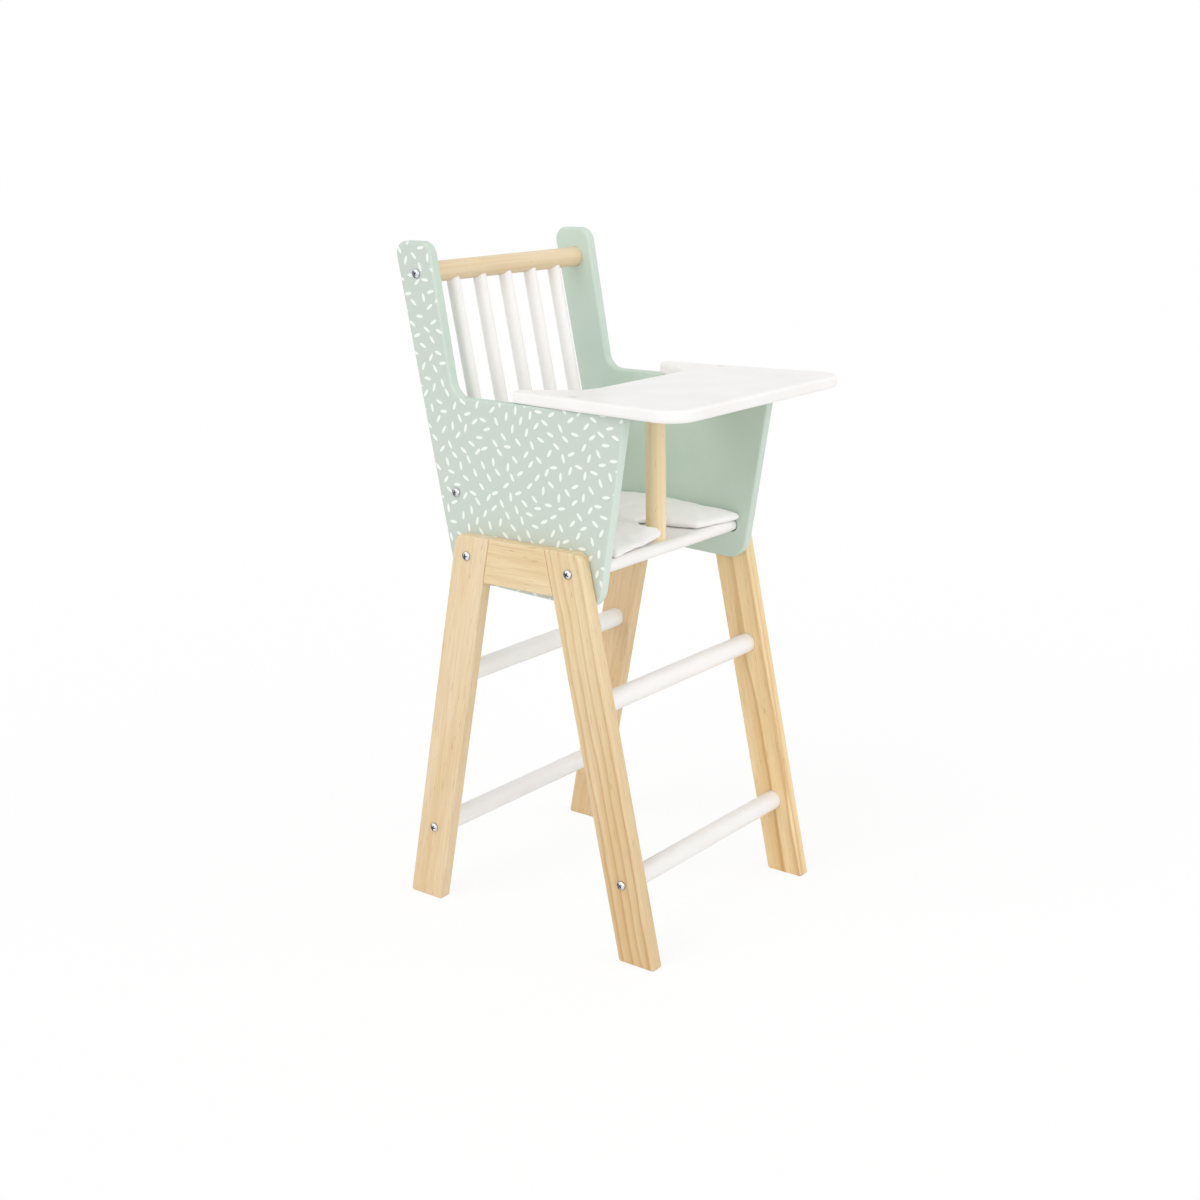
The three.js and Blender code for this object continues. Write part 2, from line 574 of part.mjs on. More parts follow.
// Point of the pad's plan: along runs from 0 at the front edge to 1 at the back, and the rows behind
// the slot run straight across
function padPlan(x, along) {
  const distance = Math.abs(x);
  const waistY = PAD_SLOT_BACK_Y + PAD_WAIST_SETBACK;
  const y = along < PAD_WAIST_SHARE
    ? THREE.MathUtils.mapLinear(along, 0, PAD_WAIST_SHARE, padFrontY(distance), waistY)
    : THREE.MathUtils.mapLinear(along, PAD_WAIST_SHARE, 1, waistY, PAD_BACK_Y - padCornerDraw(distance));
  const sideDraw = PAD_SIDE_DRAW * (x / PAD_HALF_WIDTH) ** 3 * Math.sin(Math.PI * along);
  return new THREE.Vector2(x - sideDraw, y);
}

// Columns of the pad from side to side, close together where the slot's edges run back
function padColumns() {
  const slantEnd = PAD_SLOT_HALF_WIDTH + PAD_SLOT_SLANT;
  const right = [
    ...PAD_SLOT_COLUMN_SHARES.map((share) => share * PAD_SLOT_HALF_WIDTH),
    ...PAD_SLANT_COLUMN_SHARES.map((share) => PAD_SLOT_HALF_WIDTH + share * PAD_SLOT_SLANT),
    ...PAD_LOBE_COLUMN_SHARES.map((share) => THREE.MathUtils.lerp(slantEnd, PAD_HALF_WIDTH, share)),
  ];
  return [...right.slice(1).reverse().map((x) => -x), ...right];
}

function padRim() {
  const rim = [];
  for (let i = 0; i <= PAD_RIM_POINTS; i += 1) {
    const share = i / PAD_RIM_POINTS;
    const x = THREE.MathUtils.lerp(-PAD_HALF_WIDTH, PAD_HALF_WIDTH, share);
    rim.push(padPlan(x, 0), padPlan(x, 1), padPlan(-PAD_HALF_WIDTH, share), padPlan(PAD_HALF_WIDTH, share));
  }
  return rim;
}

// Heights of the pad's top and underside at a point of its plan, which meet in the seam at the rim
function padHeights(point, rim) {
  const nearest = Math.min(...rim.map((edge) => edge.distanceTo(point)));
  const fullness = Math.sqrt(1 - (1 - Math.min(1, nearest / PAD_ROUNDING)) ** 2);
  const channelY = PAD_SLOT_BACK_Y + PAD_CHANNEL_SETBACK;
  const channel = Math.exp(-(((point.y - channelY) / PAD_CHANNEL_WIDTH) ** 2));
  const crown = PAD_HEIGHT - PAD_SEAM_HEIGHT - PAD_CHANNEL_DEPTH * channel;
  return { top: PAD_SEAM_HEIGHT + crown * fullness, bottom: PAD_SEAM_HEIGHT * (1 - fullness) };
}

function padGeometry() {
  const rim = padRim();
  const columns = padColumns();
  const positions = [];
  const addPoint = (point, height) => {
    positions.push(point.x, point.y, height);
    return positions.length / 3 - 1;
  };
  const grid = { top: [], bottom: [] };
  for (let row = 0; row <= PAD_ROWS; row += 1) {
    columns.forEach((x, column) => {
      const point = padPlan(x, row / PAD_ROWS);
      const onRim = row % PAD_ROWS === 0 || column % (columns.length - 1) === 0;
      const heights = onRim ? { top: PAD_SEAM_HEIGHT } : padHeights(point, rim);
      grid.top.push(addPoint(point, heights.top));
      grid.bottom.push(onRim ? grid.top.at(-1) : addPoint(point, heights.bottom));
    });
  }

  const indices = [];
  for (let row = 0; row < PAD_ROWS; row += 1) {
    for (let column = 0; column < columns.length - 1; column += 1) {
      const a = row * columns.length + column;
      const b = a + 1;
      const c = b + columns.length;
      const d = a + columns.length;
      indices.push(...[a, b, c, a, c, d].map((corner) => grid.top[corner]));
      indices.push(...[a, c, b, a, d, c].map((corner) => grid.bottom[corner]));
    }
  }
  const geometry = new THREE.BufferGeometry();
  geometry.setAttribute('position', new THREE.Float32BufferAttribute(positions, 3));
  geometry.setIndex(indices);
  return geometry;
}

function addSeatPad() {
  const pad = addPiece(chair, 'seat_pad', padGeometry(), CLOTH);
  pad.position.set(PAD_CENTRE_X, 0, SEAT_TOP_Z + PAD_REST_GAP);
}

// The chair, put together: rods and screws first, so that the boards can be cut to take them
const lowerRungs = addRungPair('lower', LOWER_RUNG_Z, LOWER_RUNG_SOCKET);
const upperRungs = addRungPair('upper', UPPER_RUNG_Z, UPPER_RUNG_SOCKET);
const back = addBack();
const post = addTrayPost();
const seat = addSeatBoard();
const tray = addTrayBoard();
const panels = SIDES.map(addPanel);

const legScrewY = legCentreY(SEAT_CENTRE_Z) + SEAT_SCREW_OFFSET;
const rungScrews = ENDS.flatMap((end) => (
  addScrewPair(`${end.name}_rung`, LEG_OUTER_X, end.sign * legCentreY(LOWER_RUNG_Z), LOWER_RUNG_Z)
));
const seatScrews = ENDS.flatMap((end) => (
  addScrewPair(`${end.name}_seat`, LEG_OUTER_X, end.sign * legScrewY, SEAT_CENTRE_Z)
));
const railScrews = [['top', BACK_TOP_RAIL_Z], ['bottom', BACK_BOTTOM_RAIL_Z]].flatMap(([level, z]) => (
  addScrewPair(`${level}_rail`, PANEL_OUTER_X, backRailY(z), z)
));
const trayScrews = addTrayScrews();

for (const side of SIDES) {
  addLegFrame(side, [...lowerRungs, ...upperRungs], [...rungScrews, ...seatScrews]);
}
const panelHoles = [
  seatGrooves(seat),
  ...back.rails.map(socket),
  ...[...seatScrews, ...railScrews].map(clearanceHole),
  ...trayScrews.map(pilotHole),
];
panels.forEach((panel) => cut(panel, panelHoles));
lowerRungs.forEach((rung) => cut(rung, rungScrews.map(pilotHole)));
back.rails.forEach((rail) => cut(rail, [...back.spindles.map(socket), ...railScrews.map(pilotHole)]));
cut(seat, [socket(post), ...seatScrews.map(pilotHole)]);
cut(tray, [socket(post), ...trayScrews.map(clearanceHole), ...trayScrews.map(countersink)]);
addSeatPad();

// The origin lies on the floor, under the middle of the whole chair
const box = new THREE.Box3().setFromObject(chair);
const middle = box.getCenter(new THREE.Vector3());
chair.position.set(-middle.x, -middle.y, -box.min.z);

export default chair;
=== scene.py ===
import json
import math

import bmesh
import bpy
import numpy as np
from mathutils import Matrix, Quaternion, Vector, noise
from mathutils.geometry import delaunay_2d_cdt

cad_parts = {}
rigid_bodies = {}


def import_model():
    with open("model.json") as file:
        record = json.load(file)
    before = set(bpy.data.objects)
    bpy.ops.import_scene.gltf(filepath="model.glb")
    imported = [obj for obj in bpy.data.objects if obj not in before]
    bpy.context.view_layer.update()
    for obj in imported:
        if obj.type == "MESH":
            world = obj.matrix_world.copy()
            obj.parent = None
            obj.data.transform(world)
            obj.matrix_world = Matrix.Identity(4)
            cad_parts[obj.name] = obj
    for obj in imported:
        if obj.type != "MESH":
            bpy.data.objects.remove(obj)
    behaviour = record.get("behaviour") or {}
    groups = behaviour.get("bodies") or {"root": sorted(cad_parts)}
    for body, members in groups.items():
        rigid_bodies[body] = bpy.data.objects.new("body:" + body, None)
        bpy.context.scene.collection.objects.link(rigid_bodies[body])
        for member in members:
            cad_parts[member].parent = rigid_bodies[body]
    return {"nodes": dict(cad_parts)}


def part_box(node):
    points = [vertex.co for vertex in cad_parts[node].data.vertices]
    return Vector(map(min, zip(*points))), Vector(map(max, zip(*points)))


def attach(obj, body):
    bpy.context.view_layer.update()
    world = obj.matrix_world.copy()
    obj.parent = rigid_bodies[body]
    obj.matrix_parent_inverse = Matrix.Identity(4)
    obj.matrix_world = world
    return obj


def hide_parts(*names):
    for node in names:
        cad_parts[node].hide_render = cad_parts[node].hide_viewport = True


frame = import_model()
for leftover in [o for o in bpy.data.objects if o.type in ("LIGHT", "CAMERA") or o.name == "Cube"]:
    bpy.data.objects.remove(leftover)
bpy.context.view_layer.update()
nodes = frame["nodes"]

# %% [markdown]
# The camera stands at the left of the tray, a little above it, as the photographer did. It could be placed
# by eye, but edges of the chair that show clearly in the photograph give six numbers: a point to aim at,
# a distance, a swing round the chair, a height, a slight roll of the hand-held frame and a lens.
# %% Set up the camera
AIM = Vector((0.00184, 0.02428, 0.27505))
DISTANCE, LENS, SENSOR_WIDTH = 1.5750, 51.82, 36.0
SWING, HEIGHT, ROLL = math.radians(-52.0), math.radians(15.41), math.radians(-0.84)


def new_object(name, data):
    """An object in the scene that shows the data."""
    made = bpy.data.objects.new(name, data)
    bpy.context.scene.collection.objects.link(made)
    return made


def way_out(swing, height):
    """The way from the chair to a camera or light. swing turns it round from the tray, height lifts it."""
    level = math.cos(height)
    return Vector((math.sin(swing) * level, -math.cos(swing) * level, math.sin(height)))


def look_back(placed, away):
    """Turns a camera or light that stands at the end of that way, so that it looks back along it."""
    placed.rotation_mode = "QUATERNION"
    placed.rotation_quaternion = (-away).to_track_quat("-Z", "Y")


camera_data = bpy.data.cameras.new("camera")
camera_data.sensor_width = SENSOR_WIDTH
camera_data.lens = LENS
camera = new_object("camera", camera_data)
away = way_out(SWING, HEIGHT)
camera.location = AIM + away * DISTANCE
look_back(camera, away)
camera.rotation_quaternion = camera.rotation_quaternion @ Quaternion((0, 0, 1), ROLL)
bpy.context.scene.camera = camera
bpy.context.scene.view_settings.view_transform = "Standard"
print("camera at", tuple(round(x, 3) for x in camera.location))

# %% [markdown]
# Materials are built from small nodes, and many finishes need the same few steps. One function adds a node
# and joins its inputs in a single call, so that each finish below reads as a short recipe.
# %% Helpers for nodes
def grey(value):
    return (value, value, value, 1.0)


def join(tree, node, inputs):
    """Gives inputs, by name or number, a value or another node's output."""
    for key, value in dict(inputs).items():
        if isinstance(value, bpy.types.NodeSocket):
            tree.links.new(value, node.inputs[key])
        else:
            node.inputs[key].default_value = value


def add(tree, kind, inputs=(), **settings):
    """Adds one node with its settings, and joins its inputs."""
    made = tree.nodes.new(kind)
    for key, value in settings.items():
        setattr(made, key, value)
    join(tree, made, inputs)
    return made


def calc(tree, operation, *values):
    return add(tree, "ShaderNodeMath", enumerate(values), operation=operation).outputs[0]


def between(tree, value, low, high, start=0.0, end=1.0):
    """Stretches value, so that low becomes start and high becomes end, and holds it there."""
    inputs = {0: value, 1: low, 2: high, 3: start, 4: end}
    return add(tree, "ShaderNodeMapRange", inputs, clamp=True).outputs[0]


def new_finish(name, roughness):
    """A material with its tree and shader."""
    material = bpy.data.materials.new(name)
    material.use_nodes = True
    shader = material.node_tree.nodes["Principled BSDF"]
    shader.inputs["Roughness"].default_value = roughness
    return material, material.node_tree, shader


print("helpers for nodes ready")

# %% [markdown]
# The photograph was taken in a white studio: the ground is white, and only a breath of shadow lies round
# the feet. A white floor that bounces light is a plain diffuse surface. What the camera sees of it glows
# instead, with a little diffuse light on top, so it stays white and still keeps the chair's shadow.
# %% Build the floor and the surroundings
FLOOR_BOUNCE, FLOOR_SHADOW, FLOOR_GLOW = 0.90, 0.16, 0.848
FLOOR_HALF = 30.0
SQUARE = ((-1, -1), (1, -1), (1, 1), (-1, 1))
AMBIENT = 0.60


def studio_rays(tree):
    """1 where the camera, a mirror or glass looks at the studio, and 0 where light bounces."""
    path = add(tree, "ShaderNodeLightPath").outputs
    seen = calc(tree, "MAXIMUM", path["Is Camera Ray"], path["Is Glossy Ray"])
    return calc(tree, "MAXIMUM", seen, path["Is Transmission Ray"])


floor_finish, tree, shader = new_finish("studio_floor", roughness=1.0)
floor_bounce = add(tree, "ShaderNodeBsdfDiffuse", {"Color": grey(FLOOR_BOUNCE)})
floor_shadow = add(tree, "ShaderNodeBsdfDiffuse", {"Color": grey(FLOOR_SHADOW)})
floor_glow = add(tree, "ShaderNodeEmission", {"Color": grey(1.0), "Strength": FLOOR_GLOW})
floor_shown = add(tree, "ShaderNodeAddShader", {0: floor_shadow.outputs[0], 1: floor_glow.outputs[0]})
floor_mix = add(tree, "ShaderNodeMixShader",
                {0: studio_rays(tree), 1: floor_bounce.outputs[0], 2: floor_shown.outputs[0]})
tree.nodes.remove(shader)
join(tree, tree.nodes["Material Output"], {"Surface": floor_mix.outputs[0]})

floor_mesh = bpy.data.meshes.new("studio_floor")
corners = [(x * FLOOR_HALF, y * FLOOR_HALF, 0) for x, y in SQUARE]
floor_mesh.from_pydata(corners, [], [(0, 1, 2, 3)])
floor_mesh.materials.append(floor_finish)
floor = new_object("studio_floor", floor_mesh)

world = bpy.data.worlds.new("white_studio")
bpy.context.scene.world = world
world.use_nodes = True
tree = world.node_tree
strength = between(tree, studio_rays(tree), 0, 1, AMBIENT, 1.0)
join(tree, tree.nodes["Background"], {"Color": grey(1.0), "Strength": strength})
print("floor", 2 * FLOOR_HALF, "m wide, ambient light", AMBIENT)

# %% [markdown]
# Five large soft lights shape the chair. Two stand in front, one of them low, so that it reaches under the
# tray. Two light the printed panel from the left, and a weak one the far side. Lamps that hang near would
# brighten the floor in patches. Far lights, which Blender calls suns, fall evenly on it, and a wide angle
# makes them soft.
# %% Hang the lights
LIGHT_WIDTH = math.radians(45)
LIGHT_DISTANCE, LIGHT_AIM = 2.0, Vector((0, 0, 0.3))
lights = {
    "front_light": {"swing": -20, "height": 12, "strength": 0.57},
    "front_right_light": {"swing": 18, "height": 32, "strength": 0.54},
    "left_light": {"swing": -90, "height": 22, "strength": 0.50},
    "high_left_light": {"swing": -105, "height": 46, "strength": 0.58},
    "right_light": {"swing": 80, "height": 12, "strength": 0.16},
}


def hang_light(name, swing, height, strength):
    """A soft light from far away. swing and height are in degrees."""
    data = bpy.data.lights.new(name, "SUN")
    data.angle, data.energy = LIGHT_WIDTH, strength
    light = new_object(name, data)
    away = way_out(math.radians(swing), math.radians(height))
    light.location = LIGHT_AIM + away * LIGHT_DISTANCE
    look_back(light, away)
    print(name, "strength", strength)


for name, place in lights.items():
    hang_light(name, **place)

# %% [markdown]
# A CAD model comes as flat triangles, so a turned rod shows its sides as stripes. Adding more sides would
# change the model. Blender can blend the shading across neighbouring faces instead, if they share their
# points. A small node tree joins the points and shades everything soft, except where two faces meet at more
# than 20 degrees. Weighting by area then keeps the large flat faces flat.
# %% Let round pieces look round
SOFT_ANGLE = math.radians(20)
JOIN_DISTANCE = 0.00001

soften = bpy.data.node_groups.new("soft_shading", "GeometryNodeTree")
for way in ("INPUT", "OUTPUT"):
    soften.interface.new_socket(name="Geometry", in_out=way, socket_type="NodeSocketGeometry")
shape = add(soften, "NodeGroupInput").outputs[0]
inputs = {"Geometry": shape, "Distance": JOIN_DISTANCE}
shape = add(soften, "GeometryNodeMergeByDistance", inputs).outputs[0]
shape = add(soften, "GeometryNodeRemoveAttribute", {"Geometry": shape, "Name": "custom_normal"}).outputs[0]
shape = add(soften, "GeometryNodeSetShadeSmooth", {"Geometry": shape}, domain="FACE").outputs[0]
bend = add(soften, "GeometryNodeInputMeshEdgeAngle").outputs[0]
sharp = add(soften, "FunctionNodeCompare", {0: bend, 1: SOFT_ANGLE}, operation="GREATER_THAN").outputs[0]
inputs = {"Geometry": shape, "Selection": sharp, "Shade Smooth": False}
shape = add(soften, "GeometryNodeSetShadeSmooth", inputs, domain="EDGE").outputs[0]
add(soften, "NodeGroupOutput", {0: shape})
for node in nodes:
    nodes[node].modifiers.new("soft_shading", "NODES").node_group = soften
    nodes[node].modifiers.new("weigh_by_area", "WEIGHTED_NORMAL").keep_sharp = True
print("pieces with soft shading:", len(nodes))

# %% [markdown]
# Now the finishes. Most of them blend two colours by soft noise and raise a slight relief. Colours are
# written as a picture shows them, from 0 to 255, and turned into the linear light that shaders work with.
# %% Helpers for finishes
def shown(red, green, blue):
    """A colour as a picture shows it, as linear light."""
    parts = [c / 255 for c in (red, green, blue)]
    return (*[c / 12.92 if c <= 0.04045 else ((c + 0.055) / 1.055) ** 2.4 for c in parts], 1.0)


def vector(tree, operation, *values):
    return add(tree, "ShaderNodeVectorMath", enumerate(values), operation=operation).outputs[0]


def blend_colours(tree, share, first, second):
    mixed = add(tree, "ShaderNodeMix", {0: share, 6: first, 7: second}, data_type="RGBA")
    return mixed.outputs[2]


def noise_value(tree, place, scale, detail=2.0, roughness=0.5):
    """Soft noise round 0.5. scale is the number of its patches per metre."""
    inputs = {"Vector": place, "Scale": scale, "Detail": detail, "Roughness": roughness}
    return add(tree, "ShaderNodeTexNoise", inputs).outputs[0]


def relief(tree, shader, height, depth):
    """Raises the surface by height, where 1 stands for depth in metres."""
    bump = add(tree, "ShaderNodeBump", {"Strength": 1.0, "Distance": depth, "Height": height})
    join(tree, shader, {"Normal": bump.outputs[0]})


def wear(node, material):
    """Puts a finish on a CAD piece."""
    for slot in nodes[node].material_slots:
        slot.material = material


print("helpers for finishes ready")

# %% [markdown]
# Wood is the chair's main look, and its grain follows how each piece was sawn. A picture wrapped round the
# bars would repeat and stretch, so the grain is a solid pattern instead: the space of each piece is turned
# until Z runs along it, and the growth rings are cylinders round a heart that lies outside the bar.
# %% Turn space along a piece
def along_piece(tree, middle, direction):
    """Coordinates of a piece, in metres from its middle, with Z along its length."""
    turn = Vector(direction).rotation_difference(Vector((0, 0, 1))).to_euler()
    place = add(tree, "ShaderNodeTexCoord").outputs["Object"]
    inputs = {"Vector": place, "Center": middle, "Rotation": turn}
    turned = add(tree, "ShaderNodeVectorRotate", inputs, rotation_type="EULER_XYZ").outputs[0]
    return vector(tree, "SUBTRACT", turned, tuple(middle))


def stretched(tree, place, share):
    """Space for long patterns, which change along the piece by only a share of their change across it."""
    return vector(tree, "MULTIPLY", place, (1, 1, share))


def middle_of(node):
    low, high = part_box(node)
    return (low + high) / 2


print("middle of the seat board:", tuple(round(x, 3) for x in middle_of("seat_board")))

# %% [markdown]
# The legs and frame rails are pale pine under clear satin lacquer. Each ring starts pale and darkens
# slowly to a brown line that ends sharply, and the lines waver a little along the bar. A ramp on the ring's
# fraction gives that profile, and a number per ring makes some lines stronger than others.
# %% Draw the growth rings
RING_START = 0.25
RING_STOPS = ((0.07, 0.0), (0.40, 0.06), (0.72, 0.42), (0.88, 1.0), (0.94, 0.9))
WEAK_RING = 0.35
BEND_SCALE, BEND_DETAIL, BEND_REACH = 32.0, 2.0, 0.008
RIPPLE_SCALE, RIPPLE_DETAIL, RIPPLE_REACH = 120.0, 1.0, 0.0045
RING_STRETCH = 0.012
TOP_HEIGHT, TOP_STRENGTH = 0.16, 0.5
FOOT_HEIGHT, FOOT_STRENGTH = -0.14, 1.15


def length_of(tree, value):
    return add(tree, "ShaderNodeVectorMath", {0: value}, operation="LENGTH").outputs["Value"]


def wander(tree, place, scale, detail, reach):
    """A soft shift across the piece, of less than reach in metres."""
    inputs = {"Vector": place, "Scale": scale, "Detail": detail}
    shift = add(tree, "ShaderNodeTexNoise", inputs).outputs[1]
    shift = vector(tree, "SUBTRACT", shift, (0.5, 0.5, 0.5))
    return vector(tree, "MULTIPLY", shift, (reach, reach, 0))


def ring_lines(tree, place, slow, heart, ring_gap, line_strength):
    """How dark the growth rings are. A number for each ring makes it weak or strong."""
    bend = wander(tree, slow, BEND_SCALE, BEND_DETAIL, BEND_REACH)
    ripple = wander(tree, slow, RIPPLE_SCALE, RIPPLE_DETAIL, RIPPLE_REACH)
    drift = vector(tree, "ADD", bend, ripple)
    flat = stretched(tree, vector(tree, "ADD", place, drift), RING_STRETCH)
    radius = length_of(tree, vector(tree, "SUBTRACT", flat, (*heart, 0)))
    rings = calc(tree, "DIVIDE", radius, ring_gap)
    profile = add(tree, "ShaderNodeValToRGB", {0: calc(tree, "FRACT", rings)})
    stops = profile.color_ramp.elements
    for end in (0, 1):
        stops[end].position, stops[end].color = end, grey(RING_START)
    for position, darkness in RING_STOPS:
        stops.new(position).color = grey(darkness)
    number = calc(tree, "FLOOR", rings)
    each = add(tree, "ShaderNodeTexWhiteNoise", {"W": number}, noise_dimensions="1D").outputs["Value"]
    strength = between(tree, each, 0, 1, WEAK_RING * line_strength, line_strength)
    height_up = add(tree, "ShaderNodeSeparateXYZ", {0: place}).outputs[2]
    share = between(tree, height_up, TOP_HEIGHT, FOOT_HEIGHT, TOP_STRENGTH, FOOT_STRENGTH)
    return calc(tree, "MULTIPLY", profile.outputs[0], calc(tree, "MULTIPLY", strength, share))


print("rings waver by up to", round((BEND_REACH + RIPPLE_REACH) / 2 * 1000, 2), "mm each way")

# %% [markdown]
# Fine fibres and short dark flecks lie over the rings. Both are noise that is stretched along the bar.
# %% Make the pine finish
PINE_PALE, PINE_WARM = shown(246, 225, 187), shown(240, 212, 165)
PINE_LINE, PINE_FLECK = shown(198, 152, 96), shown(172, 124, 74)
BEND_STRETCH, FIBRE_STRETCH, FLECK_STRETCH = 0.14, 0.03, 0.13
PATCH_SCALE, FIBRE_SCALE, FLECK_SCALE = 45.0, 900.0, 600.0
FLECK_RANGE, FLECK_DARKNESS = (0.66, 0.78), 0.35
WARM_FROM, WARM_TO = 0.12, -0.15


def pine_finish(name, middle, direction, heart, ring_gap, line_strength, tint, foot):
    """Pine with straight grain. heart is the tree's middle across the bar, foot the warmth at its foot."""
    material, tree, shader = new_finish(name, roughness=0.42)
    place = along_piece(tree, middle, direction)
    slow = stretched(tree, place, BEND_STRETCH)
    line = ring_lines(tree, place, slow, heart, ring_gap, line_strength)
    fibre_place = stretched(tree, place, FIBRE_STRETCH)
    fibre = noise_value(tree, fibre_place, FIBRE_SCALE, detail=4.0, roughness=0.65)
    patch = noise_value(tree, slow, PATCH_SCALE)
    fleck = noise_value(tree, stretched(tree, place, FLECK_STRETCH), FLECK_SCALE, detail=1.0)
    fleck = calc(tree, "MULTIPLY", between(tree, fleck, *FLECK_RANGE), FLECK_DARKNESS)
    height_up = add(tree, "ShaderNodeSeparateXYZ", {0: place}).outputs[2]
    colour = blend_colours(tree, between(tree, patch, 0.3, 0.7), PINE_PALE, PINE_WARM)
    colour = blend_colours(tree, between(tree, fibre, 0.35, 0.75, 0, 0.36), colour, PINE_LINE)
    colour = blend_colours(tree, line, colour, PINE_LINE)
    colour = blend_colours(tree, fleck, colour, PINE_FLECK)
    colour = blend_colours(tree, between(tree, height_up, WARM_FROM, WARM_TO, 0, foot), colour, PINE_LINE)
    gloss = between(tree, fibre, 0.3, 0.7, 0.38, 0.48)
    join(tree, shader, {"Base Color": vector(tree, "MULTIPLY", colour, tint), "Roughness": gloss})
    height = calc(tree, "SUBTRACT", calc(tree, "MULTIPLY", line, 0.5), calc(tree, "MULTIPLY", fibre, 0.6))
    relief(tree, shader, height, depth=0.00006)
    return material


print("pine ready")

# %% [markdown]
# Each bar comes from another plank, so each has its own rings and tint. The two legs on the left grow
# warmer towards their feet.
# %% Dress the pine bars
LEG_LEAN = math.radians(11.67)
UP_THE_FRONT_LEG = (0, math.sin(LEG_LEAN), math.cos(LEG_LEAN))
UP_THE_REAR_LEG = (0, -math.sin(LEG_LEAN), math.cos(LEG_LEAN))
ALONG_X, ALONG_Y, ALONG_Z = (1, 0, 0), (0, 1, 0), (0, 0, 1)
pine_bars = {
    "left_front_leg": {
        "direction": UP_THE_FRONT_LEG, "heart": (0.020, 0.0768), "ring_gap": 0.00875,
        "line_strength": 0.90, "tint": (0.935, 0.955, 0.945), "foot": 0.36},
    "left_rear_leg": {
        "direction": UP_THE_REAR_LEG, "heart": (0.034, 0.052), "ring_gap": 0.0090,
        "line_strength": 0.16, "tint": (0.94, 0.965, 1.02), "foot": 0.14},
    "right_front_leg": {
        "direction": UP_THE_FRONT_LEG, "heart": (0.060, 0.046), "ring_gap": 0.01152,
        "line_strength": 0.85, "tint": (1.06, 1.04, 0.95), "foot": 0.0},
    "right_rear_leg": {
        "direction": UP_THE_REAR_LEG, "heart": (-0.050, -0.058), "ring_gap": 0.0072,
        "line_strength": 0.20, "tint": (0.875, 0.835, 0.80), "foot": 0.0},
    "left_frame_rail": {
        "direction": ALONG_Y, "heart": (0.030, 0.070), "ring_gap": 0.0086,
        "line_strength": 0.24, "tint": (0.94, 0.95, 0.95), "foot": 0.0},
    "right_frame_rail": {
        "direction": ALONG_Y, "heart": (0.028, -0.060), "ring_gap": 0.0080,
        "line_strength": 0.40, "tint": (0.95, 0.95, 0.94), "foot": 0.0},
}
for node, grain in pine_bars.items():
    wear(node, pine_finish("pine_" + node, middle_of(node), **grain))
    print(node, "rings", round(grain["ring_gap"] * 1000, 1), "mm apart")

# %% [markdown]
# The back rails and the tray's post are turned dowels of a pale hardwood, left natural under the same
# lacquer. Their grain is finer than pine: no broad rings, but long thin streaks and many short pores. Noise
# stretched sixty times along the rod gives the streaks, and the same idea with a threshold gives the pores.
# The post is painted paler than the rails, as painted light for the shade under the tray.
# %% Make the natural dowel finish
RAIL_PALE, RAIL_WARM = shown(234, 216, 184), shown(224, 196, 154)
# POST_LIT_PALE and POST_LIT_WARM are paler than the rails' colours: painted light
POST_LIT_PALE, POST_LIT_WARM = shown(250, 231, 194), shown(241, 213, 167)
DOWEL_PORE = shown(186, 142, 92)
STREAK_SCALE, CLOUD_SCALE, PORE_SCALE = 330.0, 28.0, 1150.0
STREAK_STRETCH, CLOUD_STRETCH, PORE_STRETCH = 0.016, 0.3, 0.11
STREAK_SHARE, CLOUD_SHARE = 0.65, 0.35
PORE_RANGE, PORE_DARKNESS = (0.70, 0.77), 0.35


def dowel_finish(name, middle, direction, roughness, pale, warm):
    """Fine straight grain with pores."""
    material, tree, shader = new_finish(name, roughness)
    place = along_piece(tree, middle, direction)
    streak_place = stretched(tree, place, STREAK_STRETCH)
    streak = noise_value(tree, streak_place, STREAK_SCALE, detail=4.0, roughness=0.6)
    cloud = noise_value(tree, stretched(tree, place, CLOUD_STRETCH), CLOUD_SCALE)
    pore = noise_value(tree, stretched(tree, place, PORE_STRETCH), PORE_SCALE, detail=1.0)
    pore = between(tree, pore, *PORE_RANGE)
    tone = calc(tree, "ADD", calc(tree, "MULTIPLY", streak, STREAK_SHARE),
                calc(tree, "MULTIPLY", cloud, CLOUD_SHARE))
    colour = blend_colours(tree, between(tree, tone, 0.34, 0.66), pale, warm)
    colour = blend_colours(tree, calc(tree, "MULTIPLY", pore, PORE_DARKNESS), colour, DOWEL_PORE)
    gloss = between(tree, streak, 0.3, 0.7, roughness - 0.04, roughness + 0.06)
    join(tree, shader, {"Base Color": colour, "Roughness": gloss})
    height = calc(tree, "SUBTRACT", calc(tree, "MULTIPLY", streak, 0.5), pore)
    relief(tree, shader, height, depth=0.00005)
    return material


DOWEL_ROUGHNESS = 0.40
for node in ("back_top_rail", "back_bottom_rail"):
    finish = dowel_finish("dowel_" + node, middle_of(node), ALONG_X, DOWEL_ROUGHNESS, RAIL_PALE, RAIL_WARM)
    wear(node, finish)
post = "tray_post"
wear(post, dowel_finish("dowel_" + post, middle_of(post), ALONG_Z, DOWEL_ROUGHNESS, POST_LIT_PALE, POST_LIT_WARM))
print("natural dowels: two rails and a post")

